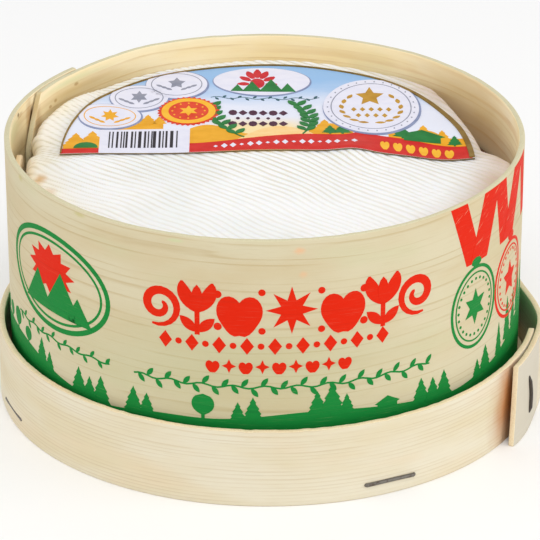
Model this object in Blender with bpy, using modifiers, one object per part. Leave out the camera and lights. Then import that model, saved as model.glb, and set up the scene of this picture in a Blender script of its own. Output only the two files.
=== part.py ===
"""A small vacherin mont d'or: a soft washed cheese in a strap of bark, in its round spruce box,
which stands in its own upturned lid.

The origin is on the surface that the lid stands on, under the middle of the box. Metres, +Z up.
The front of the box faces -Y, and the lid's band ends in an overlap at +X.
Azimuths are degrees counterclockwise from +X. A band is one thin strip of wood that runs
clockwise from its inner end, once round and then over its own beginning.
"""

import math

import bmesh
import bpy
from mathutils import Matrix, Vector

MM = 0.001
CLEARANCE = 0.3 * MM
ROUND_SEGMENTS = 80
DEGREES_PER_COLUMN = 360 / ROUND_SEGMENTS

# The box: outside radius at the rim, and how much narrower it is at its foot
BOX_RADIUS = 58.0 * MM
BOX_TAPER = 0.5 * MM
BOX_RIM = 61.9 * MM
BOX_WALL = 1.3 * MM
BOX_BASE_DEPTH = 5.0 * MM
BOX_ROWS = 5
BOX_SEAM = 156.7
BOX_LAP = 17.0
BOX_CORNER_CUT = 7.9
BOX_LAP_INWARD = 1.35 * MM
BOX_LAP_OUTWARD = BOX_WALL + CLEARANCE - BOX_LAP_INWARD

# The lid, which the box stands in, is a little off the middle of the box
LID_SHIFT = 0.6 * MM
LID_RIM = 18.1 * MM
LID_WALL = 1.4 * MM
LID_DISC_RADIUS = 59.3 * MM
LID_DISC_DEPTH = 5.0 * MM
LID_ROWS = 3
LID_SEAM = -9.8
LID_LAP_TOP = 18.8
LID_LAP_BOTTOM = 21.8
LID_LEAN = 0.9 * MM
LID_LEAN_AZIMUTH = 25.0
FLAP_STANDOFF_TOP = 0.5 * MM
FLAP_STANDOFF_BOTTOM = 1.4 * MM

# The strap of bark round the cheese, higher where it shows at the left
STRAP_THICKNESS = 1.5 * MM
STRAP_TOP = 46.8 * MM
STRAP_TOP_LEFT = 54.8 * MM
STRAP_JOINT = -60.0
STRAP_JOINT_GAP = 0.9
STRAP_ROWS = 3

# The cheese: its top, its rounded shoulder, and the gap that it leaves along the right wall
CHEESE_CENTRE_HEIGHT = 56.2 * MM
CHEESE_DOME = 1.3 * MM
CHEESE_DOME_RADIUS = 50.0 * MM
CHEESE_FLAT_BEHIND = (20.0 * MM, 44.0 * MM)
CHEESE_TO_WALL = 0.5 * MM
CHEESE_SLACK = 0.3 * MM
CHEESE_SHOULDER_HEIGHT = 3.6 * MM
CHEESE_SHOULDER_WIDTH = 1.6 * MM
CHEESE_LEFT_ROLL = 2.0 * MM
CHEESE_FRONT_ROLL = 2.8 * MM
CHEESE_UNDERCUT = 2.2 * MM
CHEESE_INSIDE_STRAP = 0.9 * MM
CHEESE_RIGHT_GAP = 6.0 * MM
CHEESE_RIGHT_GAP_AZIMUTH = 9.0
CHEESE_RIGHT_GAP_BEHIND = 36.0
CHEESE_RIGHT_GAP_BEFORE = 12.0
CHEESE_FOOT_ROUND = 1.5 * MM
CHEESE_RIPPLE = 0.3 * MM
# Swells of the top, each with its middle, height and reach: two up against the wall at the left,
# the fold under the label's straight edge, and the hollow at its right end
CHEESE_SWELLS = (
    (-50.0 * MM, 30.0 * MM, 3.3 * MM, 12.0 * MM),
    (-53.0 * MM, 17.0 * MM, 1.2 * MM, 7.0 * MM),
    (20.0 * MM, 2.0 * MM, 1.0 * MM, 5.0 * MM),
    (41.0 * MM, 4.0 * MM, -1.5 * MM, 8.5 * MM),
)
CHEESE_SEGMENTS = 104
CHEESE_RINGS = 34
BOX_FLOOR = LID_DISC_DEPTH + CLEARANCE
CHEESE_FLOOR = BOX_FLOOR + BOX_BASE_DEPTH + CLEARANCE

# The half-round paper label on the back half of the cheese
LABEL_HALF_WIDTH = 46.5 * MM
LABEL_MIDDLE_X = 0.6 * MM
LABEL_CHORD_Y = 1.0 * MM
LABEL_DEPTH = 49.5 * MM
LABEL_ROUNDNESS_LEFT = 2.15
LABEL_ROUNDNESS_RIGHT = 2.0
LABEL_THICKNESS = 0.3 * MM
LABEL_END_DEPTH = 0.8 * MM
LABEL_SHORT_OF_SHOULDER = 0.8
LABEL_COLUMNS = 32
LABEL_ROWS = 12

# Steel staples: four hold the lid's band to its disc, and one closes the overlap
WIRE_RADIUS = 0.45 * MM
STAPLE_BEND = 0.6 * MM
STAPLE_CROWN = 11.8 * MM
STAPLE_LEG = 5.0 * MM
STAPLE_HEIGHT = 3.2 * MM
STAPLE_AZIMUTHS = (-64.1, -159.6, 131.0, 34.0)
LAP_STAPLE_AZIMUTH = -22.5
LAP_STAPLE_BOTTOM = 4.2 * MM
LAP_STAPLE_TOP = 12.6 * MM
HOLE_RADIUS = WIRE_RADIUS + CLEARANCE

# Colour, roughness and metallic value of each material
SPRUCE = ((0.86, 0.76, 0.55, 1.0), 0.62, 0.0)
SPRUCE_END = ((0.80, 0.68, 0.46, 1.0), 0.70, 0.0)
BARK = ((0.34, 0.20, 0.10, 1.0), 0.85, 0.0)
RIND = ((0.90, 0.86, 0.78, 1.0), 0.75, 0.0)
PAPER = ((0.55, 0.68, 0.80, 1.0), 0.35, 0.0)
STEEL = ((0.30, 0.29, 0.28, 1.0), 0.40, 0.9)


def clear_scene():
    for thing in list(bpy.data.objects):
        bpy.data.objects.remove(thing, do_unlink=True)


def new_collection(name):
    group = bpy.data.collections.new(name)
    bpy.context.scene.collection.children.link(group)
    return group


def new_material(name, look):
    colour, roughness, metallic = look
    material = bpy.data.materials.new(name)
    material.use_nodes = True
    shader = material.node_tree.nodes["Principled BSDF"]
    shader.inputs["Base Color"].default_value = colour
    shader.inputs["Roughness"].default_value = roughness
    shader.inputs["Metallic"].default_value = metallic
    return material


def add_object(name, data, group, look):
    thing = bpy.data.objects.new(name, data)
    data.materials.append(new_material(name, look))
    group.objects.link(thing)
    return thing


def mesh_from(bm, name):
    mesh = bpy.data.meshes.new(name)
    bm.to_mesh(mesh)
    bm.free()
    mesh.shade_smooth()
    mesh.set_sharp_from_angle(angle=math.radians(40))
    return mesh


def ease(value, start, end):
    """0 before start, 1 after end, and a smooth step between them."""
    t = min(max((value - start) / (end - start), 0.0), 1.0)
    return t * t * (3 - 2 * t)


def around(azimuth, centre, width):
    """A smooth bump, 1 at the centre azimuth, that fades over the width in degrees."""
    away = (azimuth - centre + 180) % 360 - 180
    return math.exp(-((away / width) ** 2))


def on_plan(radius, azimuth, height, shift=0.0):
    angle = math.radians(azimuth)
    return (shift + radius * math.cos(angle), radius * math.sin(angle), height)


def strip_object(name, columns, rows, thickness, place, group, look):
    """A thin strip: place(u, v) gives its middle surface, u along the strip and v up it."""
    bm = bmesh.new()
    bmesh.ops.create_grid(bm, x_segments=columns, y_segments=rows, size=0.5)
    for vertex in bm.verts:
        vertex.co = place(vertex.co.x + 0.5, vertex.co.y + 0.5)
    strip = add_object(name, mesh_from(bm, name), group, look)
    solid = strip.modifiers.new("thickness", "SOLIDIFY")
    solid.thickness = thickness
    solid.offset = 0.0
    return strip


def disc_object(name, bottom, depth, radius_at, group, look, shift=0.0):
    """A wooden disc whose edge is at radius_at(azimuth) from the middle of its band."""
    bm = bmesh.new()
    bmesh.ops.create_cone(
        bm, cap_ends=True, segments=ROUND_SEGMENTS, radius1=1.0, radius2=1.0, depth=depth
    )
    for vertex in bm.verts:
        azimuth = math.degrees(math.atan2(vertex.co.y, vertex.co.x))
        height = bottom + depth / 2 + vertex.co.z
        vertex.co = on_plan(radius_at(azimuth), azimuth, height, shift)
    return add_object(name, mesh_from(bm, name), group, look)


def box_outer_radius(height):
    rise = (height - BOX_FLOOR) / (BOX_RIM - BOX_FLOOR)
    return BOX_RADIUS - BOX_TAPER * (1 - rise)


def box_middle_radius(turn, height):
    """The middle of the box's band, turn degrees clockwise of its inner end."""
    inward = BOX_LAP_INWARD * (1 - ease(turn, BOX_LAP, BOX_LAP + 24))
    outward = BOX_LAP_OUTWARD * ease(turn, 360 - BOX_CORNER_CUT - 20, 360 - BOX_CORNER_CUT - 2)
    return box_outer_radius(height) - BOX_WALL / 2 - inward + outward


def box_inner_radius(azimuth, height):
    """The wall's inner face, which is the inner layer's where two lie over each other."""
    turn = (BOX_SEAM + BOX_CORNER_CUT - azimuth) % 360 - BOX_CORNER_CUT
    return box_middle_radius(turn, height) - BOX_WALL / 2


def inside_box(azimuth, height, facets=1):
    """The largest radius that stays inside the wall for some facets' width to both sides."""
    reach = 1.4 * facets * DEGREES_PER_COLUMN
    return min(box_inner_radius(azimuth + side, height) for side in (-reach, 0, reach))


def box_band_place(u, v):
    height = BOX_FLOOR + v * (BOX_RIM - BOX_FLOOR)
    below_rim = min((1 - v) * BOX_ROWS, 1.0)
    start = -BOX_CORNER_CUT * below_rim
    turn = start + u * (360 + BOX_LAP - start)
    return on_plan(box_middle_radius(turn, height), BOX_SEAM - turn, height)


def lid_middle_radius(turn, v):
    """The middle of the lid's band, turn degrees clockwise of its inner end, v up its height."""
    over = (LID_WALL + CLEARANCE) * ease(turn, 338, 357)
    lean = LID_LEAN * v * around(LID_SEAM - turn, LID_LEAN_AZIMUTH, 20) * ease(turn, 200, 300)
    standoff = FLAP_STANDOFF_BOTTOM + v * (FLAP_STANDOFF_TOP - FLAP_STANDOFF_BOTTOM)
    flap = standoff * ease(turn, 364, 381)
    return LID_DISC_RADIUS + CLEARANCE + LID_WALL / 2 + over - lean * (1 - ease(turn, 345, 360)) + flap


def lid_band_place(u, v):
    end = 360 + LID_LAP_BOTTOM + v * (LID_LAP_TOP - LID_LAP_BOTTOM)
    turn = u * end
    return on_plan(lid_middle_radius(turn, v), LID_SEAM - turn, v * LID_RIM, LID_SHIFT)


def strap_outer_radius(azimuth, facets=1):
    return inside_box(azimuth, BOX_FLOOR, facets) - CLEARANCE


def strap_top(azimuth):
    """The strap's upper edge: it shows at the left, where the cheese stands back from the wall."""
    shows = ease(azimuth % 360, 172, 176) * (1 - ease(azimuth % 360, 196, 206))
    return STRAP_TOP + (STRAP_TOP_LEFT - STRAP_TOP) * shows


def strap_place(u, v):
    azimuth = STRAP_JOINT - STRAP_JOINT_GAP / 2 - u * (360 - STRAP_JOINT_GAP)
    height = CHEESE_FLOOR + v * (strap_top(azimuth) - CHEESE_FLOOR)
    return on_plan(strap_outer_radius(azimuth) - STRAP_THICKNESS / 2, azimuth, height)


def cheese_side_radius(azimuth):
    return strap_outer_radius(azimuth, facets=2) - STRAP_THICKNESS - CLEARANCE


def right_gap_share(azimuth):
    """The gap at the right closes slowly towards the back and quickly towards the front."""
    behind = (azimuth - CHEESE_RIGHT_GAP_AZIMUTH + 180) % 360 - 180
    if behind < 0:
        return ease(behind, -CHEESE_RIGHT_GAP_BEFORE, 0)
    return math.cos(min(behind / CHEESE_RIGHT_GAP_BEHIND, 1.0) * math.pi / 2)


def cheese_edge_radius(azimuth):
    """The shoulder's widest radius: over the strap to the wall, but inside the strap at the left."""
    right = CHEESE_RIGHT_GAP * right_gap_share(azimuth)
    slack = CHEESE_SLACK * (1 - math.cos(math.radians(azimuth * 4)))
    over = inside_box(azimuth, STRAP_TOP, facets=2) - CHEESE_TO_WALL - slack - right
    inside = CHEESE_INSIDE_STRAP * ease(azimuth % 360, 165, 182)
    within = min(over, cheese_side_radius(azimuth) - inside)
    left = ease(azimuth % 360, 164, 171) * (1 - ease(azimuth % 360, 204, 214))
    return over + (within - over) * left


def shoulder_width(azimuth):
    """The shoulder is tight at the back and rolls down more widely at the left and the front."""
    left = CHEESE_LEFT_ROLL * around(azimuth, 183, 30)
    front = CHEESE_FRONT_ROLL * around(azimuth, -90, 60)
    return CHEESE_SHOULDER_WIDTH + left + front


def cheese_height(x, y):
    """The top of the cheese, a low dome that is flat towards the back, with a few swells."""
    falls = 1 - ease(y, *CHEESE_FLAT_BEHIND)
    dome = CHEESE_DOME * falls * (x * x + y * y) / CHEESE_DOME_RADIUS**2
    ripple = CHEESE_RIPPLE * math.sin(x / (8 * MM) + 1.0) * math.cos(y / (10 * MM))
    swell = sum(
        rise * math.exp(-((x - middle_x) ** 2 + (y - middle_y) ** 2) / reach**2)
        for middle_x, middle_y, rise, reach in CHEESE_SWELLS
    )
    azimuth = math.degrees(math.atan2(y, x))
    edge = cheese_edge_radius(azimuth)
    width = shoulder_width(azimuth)
    roll = min(max((math.hypot(x, y) - edge + width) / width, 0.0), 1.0)
    drop = CHEESE_SHOULDER_HEIGHT * (1 - math.sqrt(1 - roll * roll))
    return CHEESE_CENTRE_HEIGHT - dome + ripple + swell - drop


def cheese_profile(azimuth, t):
    """Radius and height of the cheese's skin, t from 0 at the top's middle to 1 under it."""
    edge = cheese_edge_radius(azimuth)
    width = shoulder_width(azimuth)
    side = cheese_side_radius(azimuth)
    angle = math.radians(azimuth)

    def on_top(radius):
        return radius, cheese_height(radius * math.cos(angle), radius * math.sin(angle))

    top_share, shoulder_share, under_share, side_share = 0.62, 0.80, 0.86, 0.95
    if t <= top_share:
        return on_top((edge - width) * t / top_share)
    if t <= shoulder_share:
        roll = (t - top_share) / (shoulder_share - top_share)
        return on_top(edge - width + width * math.sin(roll * math.pi / 2))
    lip = on_top(edge)[1]
    undercut = lip - CHEESE_UNDERCUT - max(0.0, side - edge)
    foot = CHEESE_FLOOR + CHEESE_FOOT_ROUND
    if t <= under_share:
        part = (t - shoulder_share) / (under_share - shoulder_share)
        return edge + (side - edge) * part, lip + (undercut - lip) * part
    if t <= side_share:
        part = (t - under_share) / (side_share - under_share)
        return side, undercut + (foot - undercut) * part
    part = (t - side_share) / (1 - side_share)
    return (side - CHEESE_FOOT_ROUND) * (1 - part), CHEESE_FLOOR


def cheese_object(group):
    bm = bmesh.new()
    bmesh.ops.create_uvsphere(
        bm, u_segments=CHEESE_SEGMENTS, v_segments=CHEESE_RINGS, radius=1.0
    )
    for vertex in bm.verts:
        azimuth = math.degrees(math.atan2(vertex.co.y, vertex.co.x))
        t = math.acos(min(max(vertex.co.z, -1.0), 1.0)) / math.pi
        radius, height = cheese_profile(azimuth, t)
        vertex.co = on_plan(radius, azimuth, height)
    return add_object("cheese", mesh_from(bm, "cheese"), group, RIND)


def label_place(u, v):
    """Half a superellipse on the back half of the cheese, its straight side to the front."""
    across = math.sin((u - 0.5) * math.pi)
    roundness = LABEL_ROUNDNESS_LEFT if across < 0 else LABEL_ROUNDNESS_RIGHT
    depth = LABEL_DEPTH * (1 - abs(across) ** roundness) ** (1 / roundness)
    x = LABEL_MIDDLE_X + LABEL_HALF_WIDTH * across
    y = LABEL_CHORD_Y + v * max(depth, LABEL_END_DEPTH)
    azimuth = math.degrees(math.atan2(y, x))
    limit = cheese_edge_radius(azimuth) - LABEL_SHORT_OF_SHOULDER * shoulder_width(azimuth)
    inside = min(1.0, limit / math.hypot(x, y))
    x, y = x * inside, y * inside
    return x, y, cheese_height(x, y) + CLEARANCE + LABEL_THICKNESS / 2


def wire_object(name, points, group):
    """A staple: a round wire through the points, with its bends already rounded."""
    curve = bpy.data.curves.new(name, "CURVE")
    curve.dimensions = "3D"
    curve.bevel_depth = WIRE_RADIUS
    curve.bevel_resolution = 2
    curve.use_fill_caps = True
    spline = curve.splines.new("POLY")
    spline.points.add(len(points) - 1)
    for target, point in zip(spline.points, points):
        target.co = (*point, 1.0)
    return add_object(name, curve, group, STEEL)


def leg_holes(name, ends, group):
    """A cutter with one round peg for each (outer, inner) pair of points on a leg's axis."""
    bm = bmesh.new()
    for outer, inner in ends:
        run = Vector(inner) - Vector(outer)
        middle = (Vector(inner) + Vector(outer)) / 2
        bmesh.ops.create_cone(
            bm,
            cap_ends=True,
            segments=10,
            radius1=HOLE_RADIUS,
            radius2=HOLE_RADIUS,
            depth=run.length,
            matrix=Matrix.Translation(middle) @ run.to_track_quat("Z", "Y").to_matrix().to_4x4(),
        )
    mesh = bpy.data.meshes.new(name)
    bm.to_mesh(mesh)
    bm.free()
    cutter = bpy.data.objects.new(name, mesh)
    cutter.hide_render = True
    cutter.display_type = "WIRE"
    group.objects.link(cutter)
    return cutter


def cut(thing, cutter):
    boolean = thing.modifiers.new(cutter.name, "BOOLEAN")
    boolean.operation = "DIFFERENCE"
    boolean.object = cutter


def disc_staple(name, azimuth, group, cutters):
    """A staple that lies round the lid's band, its legs through the band and into the disc."""
    turn = (LID_SEAM - azimuth) % 360
    band = lid_middle_radius(turn, STAPLE_HEIGHT / LID_RIM) + LID_WALL / 2
    crown = band + CLEARANCE + WIRE_RADIUS
    half = math.degrees(STAPLE_CROWN / 2 / crown)
    bend = math.degrees(STAPLE_BEND / crown)
    tip = crown - STAPLE_LEG
    path = [(tip, -half), (crown - STAPLE_BEND, -half), (crown - 0.25 * STAPLE_BEND, bend * 0.3 - half)]
    path += [(crown, bend - half + step / 4 * 2 * (half - bend)) for step in range(5)]
    path += [(crown - 0.25 * STAPLE_BEND, half - bend * 0.3), (crown - STAPLE_BEND, half), (tip, half)]
    points = [on_plan(r, azimuth + side, STAPLE_HEIGHT, LID_SHIFT) for r, side in path]
    wire_object(name, points, group)
    ends = [
        (
            on_plan(crown + WIRE_RADIUS, azimuth + side, STAPLE_HEIGHT, LID_SHIFT),
            on_plan(tip - 2 * CLEARANCE, azimuth + side, STAPLE_HEIGHT, LID_SHIFT),
        )
        for side in (-half, half)
    ]
    return leg_holes(name + "_holes", ends, cutters)


def lap_staple(name, group, cutters):
    """An upright staple that closes the overlap of the lid's band."""
    turn = (LID_SEAM - LAP_STAPLE_AZIMUTH) % 360
    inner = lid_middle_radius(turn, 0.5)
    middle = (LAP_STAPLE_BOTTOM + LAP_STAPLE_TOP) / 2
    crown = lid_middle_radius(360 + turn, 0.15) + LID_WALL / 2 + CLEARANCE + WIRE_RADIUS
    low, high = LAP_STAPLE_BOTTOM, LAP_STAPLE_TOP
    path = [(inner, low), (crown - STAPLE_BEND, low), (crown, low + STAPLE_BEND), (crown, middle)]
    path += [(crown, high - STAPLE_BEND), (crown - STAPLE_BEND, high), (inner, high)]
    points = [on_plan(r, LAP_STAPLE_AZIMUTH, height, LID_SHIFT) for r, height in path]
    wire_object(name, points, group)
    ends = [
        (
            on_plan(crown + WIRE_RADIUS, LAP_STAPLE_AZIMUTH, height, LID_SHIFT),
            on_plan(inner - LID_WALL, LAP_STAPLE_AZIMUTH, height, LID_SHIFT),
        )
        for height in (low, high)
    ]
    return leg_holes(name + "_holes", ends, cutters)


def build_lid(group, cutters):
    columns = round((360 + LID_LAP_TOP) / DEGREES_PER_COLUMN)
    band = strip_object("lid_band", columns, LID_ROWS, LID_WALL, lid_band_place, group, SPRUCE)
    disc = disc_object(
        "lid_disc", 0.0, LID_DISC_DEPTH, lambda azimuth: LID_DISC_RADIUS, group, SPRUCE_END, LID_SHIFT
    )
    for number, azimuth in enumerate(STAPLE_AZIMUTHS, start=1):
        holes = disc_staple(f"lid_staple_{number}", azimuth, group, cutters)
        cut(band, holes)
        cut(disc, holes)
    cut(band, lap_staple("lap_staple", group, cutters))


def build_box(group):
    columns = round((360 + BOX_LAP) / DEGREES_PER_COLUMN)
    strip_object("box_band", columns, BOX_ROWS, BOX_WALL, box_band_place, group, SPRUCE)

    def base_radius(azimuth):
        return inside_box(azimuth, BOX_FLOOR) - CLEARANCE

    disc_object("box_base", BOX_FLOOR, BOX_BASE_DEPTH, base_radius, group, SPRUCE_END)


def build_contents(group):
    strip_object(
        "bark_strap", ROUND_SEGMENTS, STRAP_ROWS, STRAP_THICKNESS, strap_place, group, BARK
    )
    cheese_object(group)
    strip_object(
        "label", LABEL_COLUMNS, LABEL_ROWS, LABEL_THICKNESS, label_place, group, PAPER
    )


def main():
    clear_scene()
    group = new_collection("vacherin_mont_d_or")
    cutters = new_collection("cutters")
    build_lid(group, cutters)
    build_box(group)
    build_contents(group)


main()
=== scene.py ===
"""Dresses a small vacherin mont d'or: cheese, bark strap, spruce box, upturned lid and label.

Metres, +Z up, the front of the box faces -Y. Azimuths are degrees counterclockwise from +X.
A band is one strip of wood that runs clockwise from its inner end, once round and over itself.
A print is drawn flat, in millimetres, and then bent on to the surface that carries it.
"""

import logging
import math
import random
from dataclasses import dataclass, field
from enum import Enum
from typing import Callable, Sequence

import bmesh
import bpy
from mathutils import Matrix, Vector, noise


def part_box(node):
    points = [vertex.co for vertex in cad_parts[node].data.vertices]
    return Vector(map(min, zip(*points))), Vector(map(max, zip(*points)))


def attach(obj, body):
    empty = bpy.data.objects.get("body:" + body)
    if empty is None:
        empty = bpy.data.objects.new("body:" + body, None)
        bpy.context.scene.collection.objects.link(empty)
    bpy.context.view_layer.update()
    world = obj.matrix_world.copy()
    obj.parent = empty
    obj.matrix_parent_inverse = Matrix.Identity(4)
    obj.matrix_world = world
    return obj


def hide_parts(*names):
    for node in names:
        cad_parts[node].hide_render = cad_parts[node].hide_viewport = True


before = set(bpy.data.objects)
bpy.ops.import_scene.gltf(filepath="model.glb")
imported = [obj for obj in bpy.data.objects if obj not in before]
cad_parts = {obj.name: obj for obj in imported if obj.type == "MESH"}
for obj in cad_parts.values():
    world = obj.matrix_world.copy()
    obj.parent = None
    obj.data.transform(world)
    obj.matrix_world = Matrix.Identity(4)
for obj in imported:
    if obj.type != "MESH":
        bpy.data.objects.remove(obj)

LOG = logging.getLogger("vacherin")
MM = 0.001
BODY = "root"
STRIP_UV = "strip"
RELIEF = "relief"
SHARP_ANGLE = math.radians(40)
ROUNDED_ANGLE = math.radians(55)

Colour = tuple[float, float, float, float]
Point = tuple[float, float]
Place = tuple[float, float, float]
Socket = bpy.types.NodeSocket
Material = bpy.types.Material


class Slot(Enum):
    """The record's material slots, one for each kind of piece."""

    SPRUCE_BAND = "spruce_band"
    BARK = "bark"
    RIND = "rind"
    LABEL_PAPER = "label_paper"
    STAPLE_STEEL = "staple_steel"


class Plant(Enum):
    """What stands on the printed meadow."""

    FIR = "fir"
    SLIM_FIR = "slim fir"
    ROUND_TREE = "round tree"
    CHALET = "chalet"
    BUSH = "bush"


def srgb(red: int, green: int, blue: int) -> Colour:
    """Turns a screen colour into a linear one.

    Args:
        red: red from 0 to 255.
        green: green from 0 to 255.
        blue: blue from 0 to 255.

    Returns:
        The linear colour with an alpha of 1.
    """
    shares = [channel / 255 for channel in (red, green, blue)]
    linear = [s / 12.92 if s <= 0.04045 else ((s + 0.055) / 1.055) ** 2.4 for s in shares]
    return (*linear, 1.0)


def ease(value: float, start: float, end: float) -> float:
    """Steps smoothly from 0 at start to 1 at end.

    Args:
        value: where the step is read.
        start: the last value that gives 0.
        end: the first value that gives 1.

    Returns:
        A number from 0 to 1.
    """
    t = min(max((value - start) / (end - start), 0.0), 1.0)
    return t * t * (3 - 2 * t)


def around(azimuth: float, centre: float, width: float) -> float:
    """Gives a smooth bump that is 1 at an azimuth and fades over some degrees.

    Args:
        azimuth: where the bump is read.
        centre: the azimuth of its top.
        width: how many degrees it fades over.

    Returns:
        A number from 0 to 1.
    """
    away = (azimuth - centre + 180) % 360 - 180
    return math.exp(-((away / width) ** 2))


def on_plan(radius: float, azimuth: float, height: float, shift: float = 0.0) -> Vector:
    """Places a point by radius and azimuth.

    Args:
        radius: distance from the axis.
        azimuth: degrees counterclockwise from +X.
        height: height over the table.
        shift: how far the axis stands off the origin along +X.

    Returns:
        The point in metres.
    """
    angle = math.radians(azimuth)
    return Vector((shift + radius * math.cos(angle), radius * math.sin(angle), height))


def ripple(x: float, y: float, z: float = 0.0) -> float:
    """Reads smooth noise of about unit scale, from -1 to 1."""
    return noise.noise(Vector((x, y, z)))


class Shader:
    """A node tree under construction: each call adds a node and returns its output."""

    def __init__(self, tree: bpy.types.NodeTree) -> None:
        """Starts on a tree, which may be a material's or a group's."""
        self.tree = tree

    def node(self, kind: str, inputs: dict | None = None, **settings: object) -> bpy.types.Node:
        """Adds one node.

        Args:
            kind: the node's type.
            inputs: a value or an output for each named or numbered input.
            **settings: the node's own properties.

        Returns:
            The new node.
        """
        made = self.tree.nodes.new(kind)
        for name, value in settings.items():
            setattr(made, name, value)
        self.feed(made, inputs or {})
        return made

    def feed(self, target: bpy.types.Node, inputs: dict) -> None:
        """Joins outputs to a node's inputs, or sets their values.

        Args:
            target: the node.
            inputs: a value or an output for each named or numbered input.
        """
        for name, value in inputs.items():
            if isinstance(value, Socket):
                self.tree.links.new(value, target.inputs[name])
            else:
                target.inputs[name].default_value = value

    def math(self, operation: str, first: object, second: object = 0.0, clamp: bool = False) -> Socket:
        """Adds a Math node.

        Args:
            operation: what it does.
            first: its first value or output.
            second: its second value or output.
            clamp: whether the result stays within 0 and 1.

        Returns:
            Its output.
        """
        inputs = {0: first, 1: second}
        return self.node("ShaderNodeMath", inputs, operation=operation, use_clamp=clamp).outputs[0]

    def mix(self, factor: object, first: object, second: object, blend: str = "MIX") -> Socket:
        """Mixes two colours.

        Args:
            factor: share of the second colour.
            first: the first colour.
            second: the second colour.
            blend: the blend mode.

        Returns:
            The mixed colour.
        """
        inputs = {0: factor, 6: first, 7: second}
        made = self.node("ShaderNodeMix", inputs, data_type="RGBA", blend_type=blend)
        return made.outputs[2]

    def span(self, value: object, low: float, high: float, start: float = 0.0, end: float = 1.0) -> Socket:
        """Maps a range on to another, smoothly.

        Args:
            value: what is mapped.
            low: the value that gives start.
            high: the value that gives end.
            start: the result at low.
            end: the result at high.

        Returns:
            The mapped value.
        """
        inputs = {"Value": value, "From Min": low, "From Max": high, "To Min": start, "To Max": end}
        made = self.node("ShaderNodeMapRange", inputs, interpolation_type="SMOOTHSTEP")
        return made.outputs[0]

    def stretch(self, vector: Socket, x: float, y: float, z: float) -> Socket:
        """Scales a vector along each axis."""
        inputs = {0: vector, 1: (x, y, z)}
        return self.node("ShaderNodeVectorMath", inputs, operation="MULTIPLY").outputs[0]

    def noise(self, vector: Socket, detail: float = 3.0, roughness: float = 0.5) -> Socket:
        """Reads noise of about unit scale at a vector.

        Args:
            vector: where the noise is read.
            detail: octaves.
            roughness: how strongly the finer octaves show.

        Returns:
            A value from 0 to 1.
        """
        inputs = {"Vector": vector, "Scale": 1.0, "Detail": detail, "Roughness": roughness}
        return self.node("ShaderNodeTexNoise", inputs).outputs[0]

    def split(self, vector: Socket) -> tuple[Socket, Socket, Socket]:
        """Splits a vector into its three parts."""
        outputs = self.node("ShaderNodeSeparateXYZ", {0: vector}).outputs
        return outputs[0], outputs[1], outputs[2]


def new_group(name: str, inputs: dict[str, tuple[str, float]], outputs: dict[str, str]) -> Shader:
    """Starts a shader node group with named sockets.

    Args:
        name: the group's name.
        inputs: for each input its socket type, as Float or Vector, and its default.
        outputs: for each output its socket type.

    Returns:
        The group's tree, ready for nodes.
    """
    tree = bpy.data.node_groups.new(name, "ShaderNodeTree")
    for label, (kind, default) in inputs.items():
        socket = tree.interface.new_socket(label, in_out="INPUT", socket_type=f"NodeSocket{kind}")
        if kind == "Float":
            socket.default_value = default
    for label, kind in outputs.items():
        tree.interface.new_socket(label, in_out="OUTPUT", socket_type=f"NodeSocket{kind}")
    return Shader(tree)


def new_material(name: str) -> tuple[Material, Shader, bpy.types.Node]:
    """Starts a material.

    Args:
        name: the material's name.

    Returns:
        The material, its tree and its Principled node.
    """
    material = bpy.data.materials.new(name)
    material.use_nodes = True
    return material, Shader(material.node_tree), material.node_tree.nodes["Principled BSDF"]


def close_group(shader: Shader, results: dict[str, Socket]) -> bpy.types.NodeTree:
    """Joins a group's results to its outputs.

    Args:
        shader: the group under construction.
        results: the output that each named result goes to.

    Returns:
        The finished group.
    """
    shader.node("NodeGroupOutput", results)
    return shader.tree


def strip_coordinates(shader: Shader) -> Socket:
    """Reads the piece's own strip UV in millimetres."""
    uv = shader.node("ShaderNodeUVMap", uv_map=STRIP_UV).outputs[0]
    return shader.stretch(uv, 1 / MM, 1 / MM, 0.0)


def object_coordinates(shader: Shader) -> Socket:
    """Reads Object coordinates in millimetres."""
    coordinates = shader.node("ShaderNodeTexCoord").outputs["Object"]
    return shader.stretch(coordinates, 1 / MM, 1 / MM, 1 / MM)


def add_bump(shader: Shader, target: bpy.types.Node, height: Socket, depth: float) -> None:
    """Feeds a height to a shader's normal.

    Args:
        shader: the tree.
        target: the shader node.
        height: the height from 0 to 1.
        depth: the depth of the relief in metres.
    """
    bump = shader.node("ShaderNodeBump", {"Height": height, "Distance": depth, "Strength": 1.0})
    shader.feed(target, {"Normal": bump.outputs[0]})


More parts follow.
